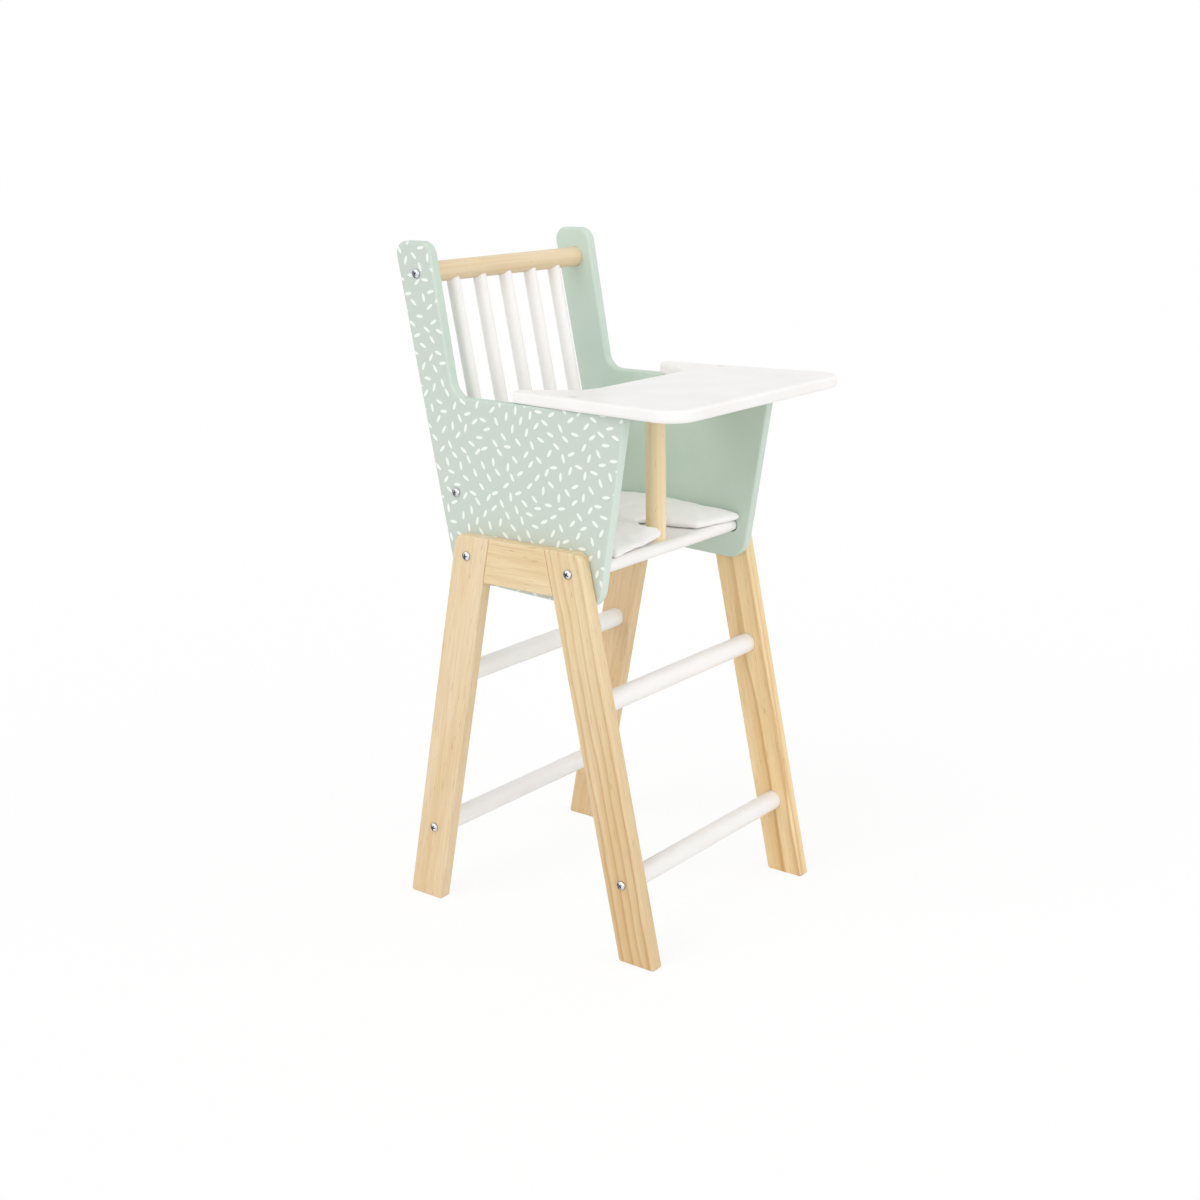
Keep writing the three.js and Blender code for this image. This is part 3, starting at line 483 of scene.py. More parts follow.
# %% [markdown]
# Eight short beech pins join the frame rails to the legs. They are glued in out of sight, so they are bare
# wood: rougher and a little redder, from the same recipe. They lie square to the leg that they enter.
# %% Finish the hidden beech pins
BEECH_PALE, BEECH_WARM, BEECH_ROUGHNESS = shown(226, 190, 146), shown(208, 166, 118), 0.68
pins = sorted(n for n in nodes if "_dowel_" in n)
for node in pins:
    lean = LEG_LEAN if "rear" in node else -LEG_LEAN
    along_pin = (0, math.cos(lean), math.sin(lean))
    finish = dowel_finish("beech_" + node, middle_of(node), along_pin,
                          BEECH_ROUGHNESS, BEECH_PALE, BEECH_WARM)
    wear(node, finish)
print("beech pins:", len(pins))

# %% [markdown]
# Rungs, spindles, seat and tray are lacquered a slightly warm white. A sprayed lacquer is never quite
# even: it has a fine orange peel, the wood's grain shows through as faint long ridges, and the gloss
# changes a little from place to place. Bump and roughness carry that, and the colour hardly changes. Three
# of the rungs, low down or at the back, have their white dimmed a little as painted shade.
# %% Make the white lacquer
LACQUER_WHITE, LACQUER_WARM = shown(248, 246, 244), shown(246, 243, 241)
RIDGE_SCALE, RIDGE_STRETCH = 420.0, 0.02
PEEL_SCALE, SPRAY_SCALE = 620.0, 24.0


def lacquer_finish(name, middle, direction, tint=(1, 1, 1)):
    """White satin lacquer over grain that runs along a piece."""
    material, tree, shader = new_finish(name, roughness=0.36)
    place = along_piece(tree, middle, direction)
    ridge_place = stretched(tree, place, RIDGE_STRETCH)
    ridge = noise_value(tree, ridge_place, RIDGE_SCALE, detail=3.0, roughness=0.6)
    peel = noise_value(tree, place, PEEL_SCALE)
    cloud = noise_value(tree, place, SPRAY_SCALE, detail=3.0)
    colour = blend_colours(tree, between(tree, cloud, 0.35, 0.65), LACQUER_WHITE, LACQUER_WARM)
    gloss = between(tree, cloud, 0.3, 0.7, 0.32, 0.42)
    join(tree, shader, {"Base Color": vector(tree, "MULTIPLY", colour, tint), "Roughness": gloss})
    height = calc(tree, "ADD", calc(tree, "MULTIPLY", ridge, 0.5), calc(tree, "MULTIPLY", peel, 0.5))
    relief(tree, shader, height, depth=0.00004)
    return material


BACK_LEAN = math.radians(11.3)
UP_THE_BACK = (0, math.sin(BACK_LEAN), math.cos(BACK_LEAN))
# how much of the white each rung keeps: below 1 is painted shade
rung_painted_shade = {
    "lower_front_rung": (0.96, 0.965, 0.965),
    "upper_front_rung": (1, 1, 1),
    "lower_rear_rung": (0.92, 0.935, 0.94),
    "upper_rear_rung": (0.955, 0.975, 0.98),
}
boards = ("seat_board", "tray_board")
spindles = sorted(n for n in nodes if n.startswith("back_spindle"))
for node, tint in rung_painted_shade.items():
    wear(node, lacquer_finish("lacquer_" + node, middle_of(node), ALONG_X, tint))
for node in boards:
    wear(node, lacquer_finish("lacquer_" + node, middle_of(node), ALONG_X))
for node in spindles:
    wear(node, lacquer_finish("lacquer_" + node, middle_of(node), UP_THE_BACK))
print("white pieces:", len(rung_painted_shade) + len(boards) + len(spindles))

# %% [markdown]
# The side panels are painted mint. Their outer faces carry a printed scatter of short white dashes, like
# grains of rice. A picture would be the obvious way, but a pattern of cells does it without one: each
# cell's random colour gives a turn, and a slim ellipse is drawn round its point. Looking at the two nearest
# points keeps a dash whole where it crosses into the next cell.
# %% Draw the print's dashes
PRINT_TURN, PRINT_START, SIDE_SHIFT = math.radians(33), 0.5, 0.2
CELL, CELL_JITTER = 0.0117, 0.33
DASH_HALF_LENGTH, DASH_HALF_WIDTH, DASH_BLUR = 0.0040, 0.00142, 0.00060
DASH_FULLNESS = 0.6


def dash_mask(tree, place, nearness):
    """1 inside the dash of the nearest (F1) or second nearest (F2) cell point."""
    inputs = {"Vector": place, "Scale": 1 / CELL, "Randomness": CELL_JITTER}
    near = add(tree, "ShaderNodeTexVoronoi", inputs, voronoi_dimensions="2D", feature=nearness).outputs
    turn = add(tree, "ShaderNodeSeparateXYZ", {0: near["Color"]}).outputs[0]
    offset = vector(tree, "SUBTRACT", place, near["Position"])
    inputs = {"Vector": offset, "Angle": calc(tree, "MULTIPLY", turn, math.pi)}
    turned = add(tree, "ShaderNodeVectorRotate", inputs, rotation_type="Z_AXIS").outputs[0]
    parts = add(tree, "ShaderNodeSeparateXYZ", {0: turned}).outputs
    length_share = calc(tree, "DIVIDE", parts[0], DASH_HALF_LENGTH)
    bulge = calc(tree, "SUBTRACT", 1.0, calc(tree, "MULTIPLY", length_share, length_share))
    rounded = calc(tree, "POWER", calc(tree, "ABSOLUTE", bulge), DASH_FULLNESS)
    half_width = calc(tree, "MULTIPLY", calc(tree, "SIGN", bulge), rounded)
    half_width = calc(tree, "MULTIPLY", half_width, DASH_HALF_WIDTH)
    inside = calc(tree, "SUBTRACT", half_width, calc(tree, "ABSOLUTE", parts[1]))
    return between(tree, inside, -DASH_BLUR / 2, DASH_BLUR / 2)


def print_mask(tree, parts, outwards):
    """1 inside the dashes of one panel. Each panel takes another stretch of the pattern."""
    inputs = {0: calc(tree, "ADD", parts[1], PRINT_START + SIDE_SHIFT * outwards),
              1: calc(tree, "ADD", parts[2], PRINT_START)}
    face = add(tree, "ShaderNodeCombineXYZ", inputs).outputs[0]
    inputs = {"Vector": face, "Angle": PRINT_TURN}
    face = add(tree, "ShaderNodeVectorRotate", inputs, rotation_type="Z_AXIS").outputs[0]
    return calc(tree, "MAXIMUM", dash_mask(tree, face, "F1"), dash_mask(tree, face, "F2"))


print("print cells", round(CELL * 1000, 1), "mm apart")

# %% [markdown]
# The print stops at the edges of a panel, because only a face that looks outwards takes it. The edges below
# the arms are lightened as painted light, and the groove that holds the seat is painted near-black as a
# painted shadow of the gap round the seat board.
# %% Paint the side panels
# MINT_LIT_EDGE is the paint lightened as painted light, for the edges below the arms
MINT, MINT_DEEP, MINT_LIT_EDGE = shown(202, 218, 205), shown(196, 214, 200), shown(214, 228, 217)
# GROOVE_SHADOW is a near-black painted shadow for the gap in the seat groove
PRINT_GROUND, PRINT_DASH, GROOVE_SHADOW = shown(200, 211, 201), shown(241, 247, 241), shown(24, 28, 26)
ARM_HEIGHT, ARM_BLUR = 0.46, 0.01
GROOVE_SKIN, GROOVE_ROOM = 0.0001, 0.001
PAINT_SCALE, BRUSH_SCALE = 22.0, 700.0


def groove_shadow_mask(tree, parts):
    """1 below a panel's surface, in the groove for the seat board and just round it, for painted shadow."""
    seat_low, seat_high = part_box("seat_board")
    panel_low, panel_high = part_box("right_side_panel")
    deep = calc(tree, "ABSOLUTE", parts[0])
    sides = ((deep, panel_low.x + GROOVE_SKIN, panel_high.x - GROOVE_SKIN),
             (parts[1], seat_low.y - GROOVE_ROOM, seat_high.y + GROOVE_ROOM),
             (parts[2], seat_low.z - GROOVE_ROOM, seat_high.z + GROOVE_ROOM))
    groove = 1.0
    for value, low, high in sides:
        groove = calc(tree, "MULTIPLY", groove, calc(tree, "GREATER_THAN", value, low))
        groove = calc(tree, "MULTIPLY", groove, calc(tree, "LESS_THAN", value, high))
    return groove


def lit_edge_mask(tree, parts, facing, edge_light):
    """How much painted light: edge_light on the edges below the arms, and nothing on the faces."""
    edge = between(tree, calc(tree, "ABSOLUTE", facing), 0.85, 0.55)
    low_down = between(tree, parts[2], ARM_HEIGHT + ARM_BLUR, ARM_HEIGHT - ARM_BLUR, 0, edge_light)
    return calc(tree, "MULTIPLY", edge, low_down)


def panel_finish(name, outwards, edge_light):
    """Mint paint, with the print on the face that looks outwards, -1 for left and 1 for right."""
    material, tree, shader = new_finish(name, roughness=0.46)
    place = add(tree, "ShaderNodeTexCoord").outputs
    parts = add(tree, "ShaderNodeSeparateXYZ", {0: place["Object"]}).outputs
    facing = add(tree, "ShaderNodeSeparateXYZ", {0: place["Normal"]}).outputs[0]
    printed = between(tree, calc(tree, "MULTIPLY", facing, outwards), 0.80, 0.95)
    cloud = between(tree, noise_value(tree, place["Object"], PAINT_SCALE, detail=3.0), 0.35, 0.65)
    peel = noise_value(tree, place["Object"], BRUSH_SCALE)
    ink = calc(tree, "MULTIPLY", print_mask(tree, parts, outwards), printed)
    colour = blend_colours(tree, printed, blend_colours(tree, cloud, MINT, MINT_DEEP), PRINT_GROUND)
    # painted light on the edges below the arms
    colour = blend_colours(tree, lit_edge_mask(tree, parts, facing, edge_light), colour, MINT_LIT_EDGE)
    colour = blend_colours(tree, ink, colour, PRINT_DASH)
    # painted shadow in the groove round the seat board's ends
    colour = blend_colours(tree, groove_shadow_mask(tree, parts), colour, GROOVE_SHADOW)
    join(tree, shader, {"Base Color": colour, "Roughness": between(tree, cloud, 0, 1, 0.43, 0.50)})
    relief(tree, shader, calc(tree, "ADD", ink, calc(tree, "MULTIPLY", peel, 0.6)), depth=0.00004)
    return material


wear("left_side_panel", panel_finish("mint_left_panel", -1, 1.0))
wear("right_side_panel", panel_finish("mint_right_panel", 1, 0.2))
print("painted panels: 2")

# %% [markdown]
# The screws are bright zinc. A polished metal shows what stands round it, so its colour is nearly white,
# and its character comes from tiny scratches and uneven gloss. Shade is painted into the colour: a painted
# contact shadow at the foot of the head, and painted shade on its side away from the lights and in the
# bottom of its cross. The place in the screw and the way that its surface faces drive that.
# %% Make the zinc finish
ZINC_PALE, ZINC_GREY, ZINC_PAINTED_SHADE = shown(232, 234, 238), shown(196, 200, 208), shown(52, 58, 72)
SCRATCH_SCALE, TARNISH_SCALE, PAINTED_SHADE_STRENGTH = 2400.0, 420.0, 0.92
RIM_PALE_HEIGHT, RIM_DARK_HEIGHT = 0.0006, 0.0003
CROSS_PALE_HEIGHT, CROSS_DARK_HEIGHT = 0.0021, 0.0015
CROSS_PALE_RADIUS, CROSS_DARK_RADIUS, CROSS_PAINTED_SHADE = 0.0032, 0.0028, 0.75
UNLIT_WAY, UNLIT_RANGE = (0, 1.6, -0.7), (0.10, 0.24)


def zinc_painted_shade(tree, place):
    """Painted shade on a head: at its foot, on its side away from the lights and in its cross."""
    height_up = add(tree, "ShaderNodeSeparateXYZ", {0: place}).outputs[2]
    radius = length_of(tree, stretched(tree, place, 0))
    # painted contact shadow at the foot of the head
    rim = between(tree, height_up, RIM_PALE_HEIGHT, RIM_DARK_HEIGHT)
    faces = add(tree, "ShaderNodeNewGeometry").outputs["Normal"]
    away = add(tree, "ShaderNodeVectorMath", {0: faces, 1: UNLIT_WAY}, operation="DOT_PRODUCT")
    # painted shade on the side that faces away from the lights
    unlit = between(tree, away.outputs["Value"], *UNLIT_RANGE)
    deep = between(tree, height_up, CROSS_PALE_HEIGHT, CROSS_DARK_HEIGHT)
    inner = between(tree, radius, CROSS_PALE_RADIUS, CROSS_DARK_RADIUS)
    # painted shade in the bottom of the cross
    cross = calc(tree, "MULTIPLY", calc(tree, "MULTIPLY", deep, inner), CROSS_PAINTED_SHADE)
    return calc(tree, "MAXIMUM", calc(tree, "MAXIMUM", rim, unlit), cross)


def zinc_finish(name):
    """Zinc for a screw head that stands on the origin and looks along Z."""
    material, tree, shader = new_finish(name, roughness=0.25)
    place = add(tree, "ShaderNodeTexCoord").outputs["Object"]
    speck = noise_value(tree, place, SCRATCH_SCALE, detail=3.0, roughness=0.6)
    cloud = noise_value(tree, place, TARNISH_SCALE)
    tone = blend_colours(tree, between(tree, cloud, 0.3, 0.7), ZINC_PALE, ZINC_GREY)
    # blend the painted shade into the zinc's colour
    painted_shade = calc(tree, "MULTIPLY", zinc_painted_shade(tree, place), PAINTED_SHADE_STRENGTH)
    tone = blend_colours(tree, painted_shade, tone, ZINC_PAINTED_SHADE)
    gloss = between(tree, speck, 0.3, 0.7, 0.16, 0.34)
    join(tree, shader, {"Metallic": 1.0, "Base Color": tone, "Roughness": gloss})
    relief(tree, shader, speck, depth=0.00001)
    return material


zinc = zinc_finish("bright_zinc")
print("zinc ready")

# %% [markdown]
# Each screw has a pan head, 8 mm wide, with a cross-shaped recess. The CAD screw is a plain one with few
# sides, so a finer one is turned: its outline is spun round its axis.
# %% Turn one pan-head screw
HEAD_HEIGHT, HEAD_RADIUS, RIM_RADIUS = 0.00262, 0.0040, 0.0039
SHANK_RADIUS, SHANK_LENGTH, POINT_LENGTH = 0.0020, 0.035, 0.003
SPIN_STEPS = 48
screw_outline = [
    (0, HEAD_HEIGHT), (0.0012, 0.00259), (0.0022, 0.00247), (0.0030, 0.00221), (0.0036, 0.00176),
    (RIM_RADIUS, 0.00122), (HEAD_RADIUS, 0.0006), (HEAD_RADIUS, 0.0001), (RIM_RADIUS, 0.0),
    (SHANK_RADIUS, 0.0), (SHANK_RADIUS, -SHANK_LENGTH + POINT_LENGTH), (0, -SHANK_LENGTH)]


def spin_outline(points, steps):
    """A closed round mesh from (radius, height) points, from the top to the bottom."""
    mesh = bmesh.new()
    rings = []
    for radius, height in points:
        count = 1 if radius == 0 else steps
        turns = [2 * math.pi * k / steps for k in range(count)]
        rings.append([mesh.verts.new((radius * math.cos(t), radius * math.sin(t), height)) for t in turns])
    for upper, lower in zip(rings, rings[1:]):
        for k in range(steps):
            corners = [upper[k % len(upper)], lower[k % len(lower)],
                       lower[(k + 1) % len(lower)], upper[(k + 1) % len(upper)]]
            mesh.faces.new(list(dict.fromkeys(corners)))
    return mesh


def as_object(name, mesh):
    """An object from a mesh under construction."""
    data = bpy.data.meshes.new(name)
    mesh.to_mesh(data)
    mesh.free()
    return new_object(name, data)


blank = as_object("screw_blank", spin_outline(screw_outline, SPIN_STEPS))
print("blank:", len(blank.data.vertices), "points")

# %% [markdown]
# A punch presses the cross into the head. Here it is two crossed wedges and a boolean. The recess could be
# painted, but its walls catch the light. One mesh serves all the screws of the legs and panels.
# %% Punch its cross
CROSS_ARM, CROSS_WIDTH, CROSS_DEPTH, CROSS_TAPER = 0.0027, 0.00072, 0.0017, 0.60
PUNCH_OVERRUN = 0.001


def cross_punch():
    """Two crossed wedges, wide at the top, that cut the recess."""
    mesh = bmesh.new()
    for turned in (False, True):
        shape = []
        for height, share in ((HEAD_HEIGHT + PUNCH_OVERRUN, 1.0), (HEAD_HEIGHT - CROSS_DEPTH, CROSS_TAPER)):
            for x, y in SQUARE:
                a, b = x * CROSS_ARM * share, y * CROSS_WIDTH * share
                shape.append(mesh.verts.new((b, a, height) if turned else (a, b, height)))
        mesh.faces.new(shape[3::-1])
        mesh.faces.new(shape[4:])
        for k in range(4):
            after = (k + 1) % 4
            mesh.faces.new([shape[k], shape[after], shape[after + 4], shape[k + 4]])
    bmesh.ops.recalc_face_normals(mesh, faces=mesh.faces[:])
    return mesh


def as_shown(made):
    """The mesh of an object with its modifiers applied."""
    now = made.evaluated_get(bpy.context.evaluated_depsgraph_get())
    return bpy.data.meshes.new_from_object(now)


def cover(mesh, material):
    """Gives the whole mesh one material."""
    mesh.materials.clear()
    mesh.materials.append(material)


punch = as_object("screw_punch", cross_punch())
cut = blank.modifiers.new("cross", "BOOLEAN")
cut.object, cut.operation, cut.solver = punch, "DIFFERENCE", "EXACT"
cut.use_self = True
screw_mesh = as_shown(blank)
screw_mesh.name = "pan_head_screw"
for used in (blank, punch):
    bpy.data.objects.remove(used)
cover(screw_mesh, zinc)
print("one screw:", len(screw_mesh.vertices), "points")

# %% [markdown]
# The screws go where the CAD has them: the head stands on the wood, with its axis across the chair. The
# outer end of each CAD screw's box gives the place. Each cross has its own turn, as a hand leaves it.
# %% Drive the screws
SCREW_SHARP = math.radians(32)
FIRST_TURN, NEXT_TURN = 0.35, 1.9


def smooth(mesh, sharp_from=math.pi):
    """Soft shading, except at edges that bend more than sharp_from."""
    mesh.polygons.foreach_set("use_smooth", [True] * len(mesh.polygons))
    mesh.set_sharp_from_angle(angle=sharp_from)


smooth(screw_mesh, SCREW_SHARP)
pan_screws = sorted(n for n in nodes if n.endswith("_screw") and "tray" not in n)
for place, node in enumerate(pan_screws):
    low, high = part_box(node)
    side = -1 if node.startswith("left") else 1
    outer = low.x if side < 0 else high.x
    screw = new_object("turned_" + node, screw_mesh)
    screw.location = (outer - side * HEAD_HEIGHT, (low.y + high.y) / 2, (low.z + high.z) / 2)
    screw.rotation_mode = "QUATERNION"
    tilt = Quaternion((0, 1, 0), side * math.pi / 2)
    screw.rotation_quaternion = tilt @ Quaternion((0, 0, 1), FIRST_TURN + NEXT_TURN * place)
    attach(screw, "chair")
    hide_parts(node)
print("screws driven:", len(pan_screws))

# %% [markdown]
# Two more screws hold the tray from above. Their heads are sunk flush and lacquered over with the tray, so
# only two faint rings show. They keep their CAD shape under a thin coat of white.
# %% Lacquer over the tray's screws
COAT_PALE, COAT_SHADE, COAT_SCALE = shown(238, 236, 232), shown(228, 226, 222), 900.0


def coated_head_finish(name):
    """A thin white coat, a little greyer than the tray round it."""
    material, tree, shader = new_finish(name, roughness=0.38)
    place = add(tree, "ShaderNodeTexCoord").outputs["Object"]
    peel = noise_value(tree, place, COAT_SCALE)
    tone = blend_colours(tree, between(tree, peel, 0.3, 0.7), COAT_PALE, COAT_SHADE)
    join(tree, shader, {"Base Color": tone})
    relief(tree, shader, peel, depth=0.00004)
    return material


coated = coated_head_finish("lacquered_screw_head")
for node in ("left_tray_screw", "right_tray_screw"):
    wear(node, coated)
print("tray screws coated")

# %% [markdown]
# The cushion is white cotton, a plain weave of threads about 0.9 mm apart. Two crossed wave patterns give
# the threads without any unwrapping, and soft noise gives the slubs.
# %% Make the cotton finish
COTTON_WHITE, COTTON_WARM, COTTON_THREAD = shown(254, 253, 252), shown(251, 250, 248), shown(226, 223, 218)
THREAD_SCALE, SLUB_SCALE, SOFT_SCALE = 350.0, 260.0, 30.0
THREAD_SHARE = 0.10


def cotton_finish(name):
    """Plain woven cotton with a little fuzz."""
    material, tree, shader = new_finish(name, roughness=0.85)
    place = add(tree, "ShaderNodeTexCoord").outputs["Object"]
    threads = []
    for axis in ("X", "Y"):
        inputs = {"Vector": place, "Scale": THREAD_SCALE, "Distortion": 0.6, "Detail": 1.0}
        wave = add(tree, "ShaderNodeTexWave", inputs, wave_type="BANDS", bands_direction=axis)
        threads.append(wave.outputs["Fac"])
    weave = calc(tree, "MAXIMUM", *threads)
    slub = noise_value(tree, place, SLUB_SCALE, detail=3.0)
    cloud = noise_value(tree, place, SOFT_SCALE)
    colour = blend_colours(tree, between(tree, cloud, 0.3, 0.7), COTTON_WHITE, COTTON_WARM)
    colour = blend_colours(tree, calc(tree, "MULTIPLY", weave, THREAD_SHARE), colour, COTTON_THREAD)
    join(tree, shader, {"Base Color": colour, "Sheen Weight": 0.6, "Sheen Roughness": 0.5})
    height = calc(tree, "ADD", calc(tree, "MULTIPLY", weave, 0.6), calc(tree, "MULTIPLY", slub, 0.4))
    relief(tree, shader, height, depth=0.00008)
    return material


cotton = cotton_finish("white_cotton")
print("cotton ready")

# %% [markdown]
# The cushion is two sheets of cotton, cut alike and sewn together at the rim, with a slot that goes round
# the tray's post. Modelling the puffed shape by hand would miss how cloth pulls at its seams. So the cut is
# drawn flat, filled with evenly spaced points, and blown up by a cloth simulation later on.
# %% Cut the cloth
CUT = [(-85, -57), (-40, -56), (-3, -57), (-9, -37), (-2, -25), (12, -15), (23, -7), (26.5, 2),
       (34, 2), (41, -8), (41.5, -28), (50, -53), (78, -57.5), (107, -61), (107, 84), (-85, 84)]
POINT_GAP = 0.0028
CORNER_ROUND, ROUND_SHARE = 0.004, 0.4


def rounding_end(corner, other, radius):
    """The point on the way from a corner to another one where the corner's rounding ends."""
    way = other - corner
    return corner + way.normalized() * min(radius, way.length * ROUND_SHARE)


def rounded_rim(corners, radius, gap):
    """Points a gap apart along the closed line through the corners, which are rounded off."""
    line = []
    for k, corner in enumerate(corners):
        before, after = corners[k - 1], corners[(k + 1) % len(corners)]
        start, end = rounding_end(corner, before, radius), rounding_end(corner, after, radius)
        for t in (0, 0.25, 0.5, 0.75, 1):
            line.append(start.lerp(corner, t).lerp(corner.lerp(end, t), t))
    lengths = [(line[(k + 1) % len(line)] - line[k]).length for k in range(len(line))]
    count = round(sum(lengths) / gap)
    rim, part, walked = [], 0, 0.0
    for k in range(count):
        wanted = k * sum(lengths) / count
        while walked + lengths[part] < wanted:
            walked += lengths[part]
            part += 1
        share = (wanted - walked) / lengths[part]
        rim.append(line[part].lerp(line[(part + 1) % len(line)], share))
    return rim


rim = rounded_rim([Vector(c) / 1000 for c in CUT], CORNER_ROUND, POINT_GAP)
print("rim:", len(rim), "points,", round(len(rim) * POINT_GAP, 3), "m of seam")

# %% [markdown]
# Inside the rim the points lie in staggered rows, like the cells of a honeycomb, and a Delaunay
# triangulation joins them. Even triangles let the cloth wrinkle in any direction.
# %% Fill one sheet
FIELD_LEFT, FIELD_FRONT, FIELD_WIDTH, FIELD_DEPTH = -0.085, -0.07, 0.20, 0.16
ROW_SHARE, RIM_CLEARANCE = 0.866, 0.62
rim_array = np.array(rim)


def to_rim(point):
    """The distance from a point to the nearest point of the rim."""
    return np.hypot(*(rim_array - np.array(point)).T).min()


def inside(point, outline):
    """Whether a line from the point crosses the outline an odd number of times."""
    crossings = False
    for one, two in zip(outline, outline[-1:] + outline[:-1]):
        if (one.y > point.y) != (two.y > point.y):
            if point.x < (two.x - one.x) * (point.y - one.y) / (two.y - one.y) + one.x:
                crossings = not crossings
    return crossings


fill = []
for row in range(int(FIELD_DEPTH / (POINT_GAP * ROW_SHARE))):
    for column in range(int(FIELD_WIDTH / POINT_GAP)):
        point = Vector((FIELD_LEFT + (column + 0.5 * (row % 2)) * POINT_GAP,
                        FIELD_FRONT + row * POINT_GAP * ROW_SHARE))
        if to_rim(point) > RIM_CLEARANCE * POINT_GAP and inside(point, rim):
            fill.append(point)
rim_edges = [(k, (k + 1) % len(rim)) for k in range(len(rim))]
sheet_points, _, sheet_faces, *_ = delaunay_2d_cdt(rim + fill, rim_edges, [list(range(len(rim)))], 1, 1e-7)
print("one sheet:", len(sheet_points), "points,", len(sheet_faces), "triangles")

# %% [markdown]
# The second sheet is a copy, turned over and sharing the rim's points: that shared line is the seam. Both
# stand off the seam by a few millimetres from the start, so there is cloth to spare at the rim, which is
# what makes a full edge and small puckers. A faint unevenness tells the cloth which way to buckle.
# %% Lay the two sheets together
SEAT_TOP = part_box("seat_board")[1].z
SEAM_HEIGHT = SEAT_TOP + 0.0044
FULLNESS, FULLNESS_EASE = 0.0050, 0.0034
UNEVEN_SIZE, UNEVEN_SHARE, UPPER_SEED, LOWER_SEED = 0.017, 0.12, 1.7, 9.1


def uneven(point, size, seed):
    """Soft noise between about -1 and 1, with patches of a size in metres."""
    return noise.noise(Vector((point[0] / size, point[1] / size, seed)))


def swelling(distance, height, width):
    """How far a sheet stands off the seam: nothing at the rim, and nearly height a few widths from it."""
    return height * (1 - math.exp(-distance / width))


def fullness(point, seed):
    """How far a sheet stands off the seam before it is stuffed."""
    spread = swelling(to_rim(point), FULLNESS, FULLNESS_EASE)
    return spread * (1 + UNEVEN_SHARE * uneven(point, UNEVEN_SIZE, seed))


points = [(point[0], point[1], SEAM_HEIGHT) for point in sheet_points[:len(rim)]]
for point in sheet_points[len(rim):]:
    points.append((point[0], point[1], SEAM_HEIGHT + fullness(point, UPPER_SEED)))
under = list(range(len(rim)))
for point in sheet_points[len(rim):]:
    under.append(len(points))
    points.append((point[0], point[1], SEAM_HEIGHT - fullness(point, LOWER_SEED)))
upper_faces = []
for a, b, c in sheet_faces:
    one, two = sheet_points[b] - sheet_points[a], sheet_points[c] - sheet_points[a]
    upper_faces.append((a, b, c) if one.cross(two) > 0 else (a, c, b))
lower_faces = [(under[a], under[c], under[b]) for a, b, c in upper_faces]
cushion_mesh = bpy.data.meshes.new("stuffed_cushion")
cushion_mesh.from_pydata(points, [], upper_faces + lower_faces)
cushion = new_object("stuffed_cushion", cushion_mesh)
print("two sheets:", len(points), "points")

# %% [markdown]
# Behind the slot the sheets are tacked together: a short row of points is held close to the seam's height,
# further apart towards the back. So a crease runs back from the slot's end and parts the filling.
# %% Tack the crease
TACK_FROM, TACK_TO = Vector((0.031, 0.004)), Vector((0.033, 0.032))
TACK_HALF, TACK_REACH = 0.0034, 0.6 * POINT_GAP
TACK_START, TACK_GROWTH = 0.8, 0.5

tack_way = TACK_TO - TACK_FROM
tacked = []
for corner in cushion_mesh.vertices[len(rim):]:
    from_start = Vector(corner.co[:2]) - TACK_FROM
    along = from_start.dot(tack_way) / tack_way.length_squared
    if 0 <= along <= 1 and (from_start - along * tack_way).length < TACK_REACH:
        half = TACK_HALF * (TACK_START + TACK_GROWTH * along)
        corner.co.z = SEAM_HEIGHT + math.copysign(half, corner.co.z - SEAM_HEIGHT)
        tacked.append(corner.index)
cushion.vertex_groups.new(name="tacked").add(tacked, 1.0, "REPLACE")
print("crease:", len(tacked), "points held")

# %% [markdown]
# Now the cushion is stuffed. Blender's cloth with a pressure inside and no gravity swells the sheets like
# loose filling does, and light cloth settles within twenty frames. The result is kept as a plain mesh, so
# nothing is simulated again.
# %% Stuff the cushion
FRAMES, PRESSURE = 20, 3.4


def stuff(pad, frames, pressure):
    """The mesh of a pad after its cloth was blown up for a number of frames."""
    cloth = pad.modifiers.new("stuffing", "CLOTH")
    settings = cloth.settings
    settings.quality, settings.mass = 8, 0.003
    settings.tension_stiffness = settings.compression_stiffness = 15
    settings.shear_stiffness, settings.bending_stiffness = 5, 0.05
    settings.use_pressure, settings.uniform_pressure_force = True, pressure
    settings.effector_weights.gravity = 0
    settings.vertex_group_mass = "tacked"
    cloth.collision_settings.use_collision = False
    cloth.point_cache.frame_start, cloth.point_cache.frame_end = 1, frames
    for step in range(1, frames + 1):
        bpy.context.scene.frame_set(step)
    stuffed = as_shown(pad)
    pad.modifiers.remove(cloth)
    bpy.context.scene.frame_set(1)
    return stuffed


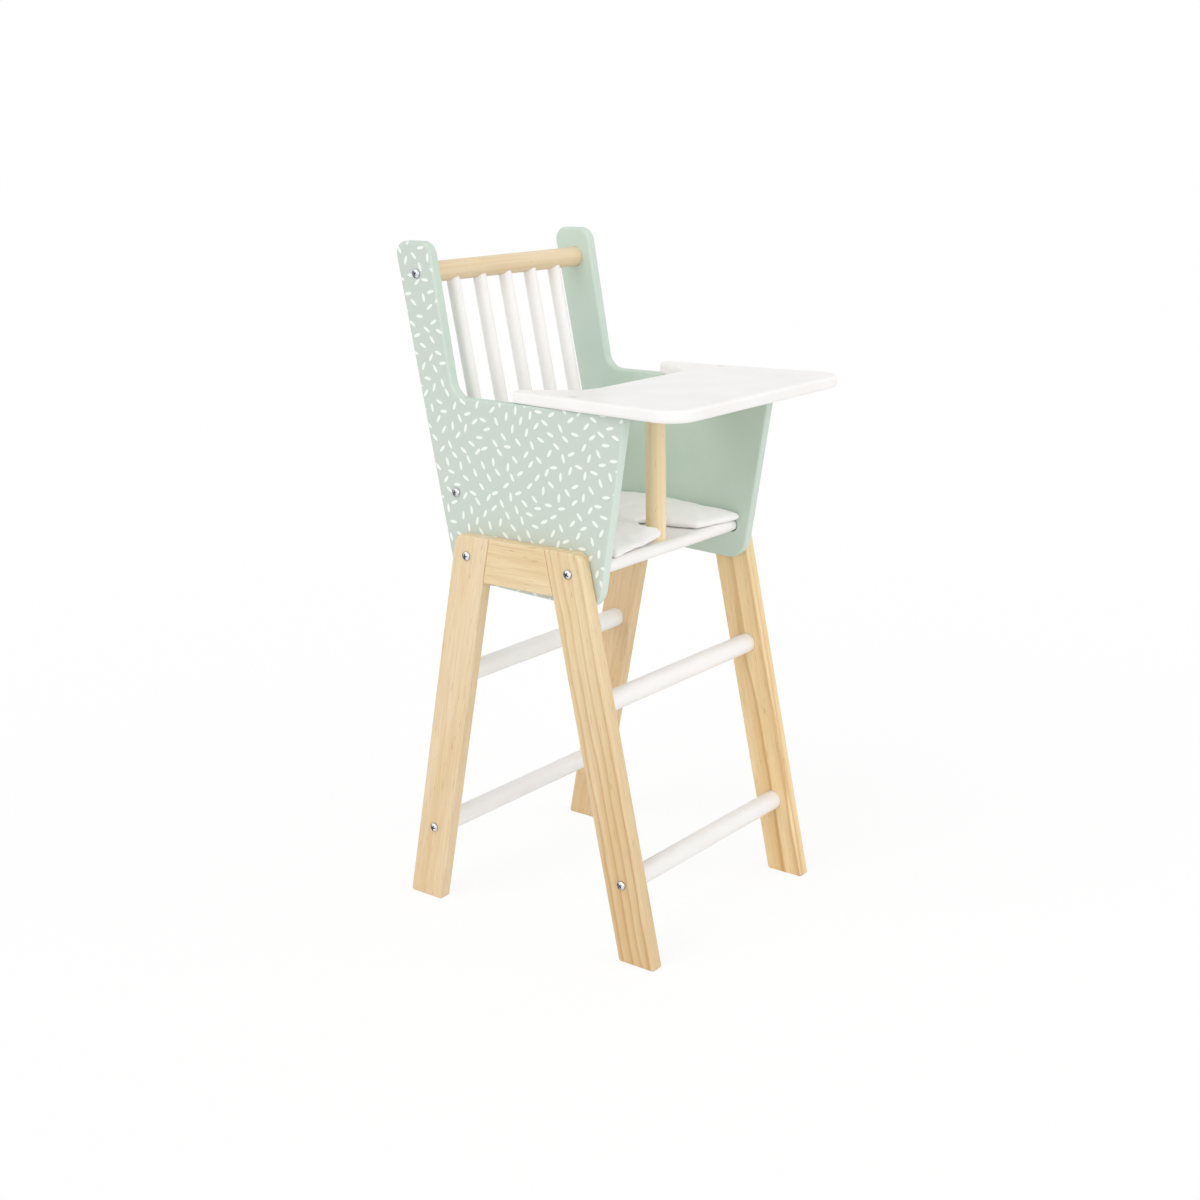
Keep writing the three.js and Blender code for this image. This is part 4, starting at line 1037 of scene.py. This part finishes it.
cushion.data = stuff(cushion, FRAMES, PRESSURE)
bpy.data.meshes.remove(cushion_mesh)
heights = [v.co.z - SEAT_TOP for v in cushion.data.vertices]
print("stuffed from", round(min(heights) * 1000, 1), "to", round(max(heights) * 1000, 1), "mm over the seat")

# %% [markdown]
# A cushion that lies on a board is flat underneath, and it doesn't lie quite level. The lobe beside the post
# is bent up a little at its tip, and the far edge rides up the panel towards the back. Points below the
# board go up to it, and two soft bends do the rest. Two sizes of soft wrinkle show that it has been sat on.
# The panel and the post hold the cloth back.
# %% Rest the cushion on the seat
TIP, TIP_REACH, TIP_LIFT = Vector((-0.0105, -0.0550)), 0.028, 0.0040
RIDE_X, RIDE_Y, RIDE_UP = (0.045, 0.102), (-0.035, 0.060), 0.0036
WRINKLES = ((0.0007, 0.034, 4.2), (0.0009, 0.015, 2.8))
PANEL_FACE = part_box("right_side_panel")[0].x
POST_FACE, POST_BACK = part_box("tray_post")[0].x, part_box("tray_post")[1].y
CLEARANCE = 0.0003


def ease(value, low, high):
    """0 below low and 1 above high, with a soft step between them."""
    share = min(1.0, max(0.0, (value - low) / (high - low)))
    return share * share * (3 - 2 * share)


for corner in cushion.data.vertices:
    x, y, z = corner.co
    tip = ease(TIP_REACH - (Vector((x, y)) - TIP).length, 0, TIP_REACH)
    ride = ease(x, *RIDE_X) * ease(y, *RIDE_Y)
    z += sum(depth * uneven(corner.co, size, seed) for depth, size, seed in WRINKLES)
    z = max(z, SEAT_TOP + CLEARANCE)
    if x < 0 and y < POST_BACK:
        x = min(x, POST_FACE - CLEARANCE)
    corner.co = (min(x, PANEL_FACE - CLEARANCE), y, z + TIP_LIFT * tip + RIDE_UP * ride)
finer = cushion.modifiers.new("finer", "SUBSURF")
finer.levels = finer.render_levels = 1
finer_mesh = as_shown(cushion)
cushion.modifiers.remove(finer)
cushion.data = finer_mesh
smooth(cushion.data)
cover(cushion.data, cotton)
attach(cushion, "cushion")
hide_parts("seat_pad")
print("cushion:", len(cushion.data.vertices), "points")
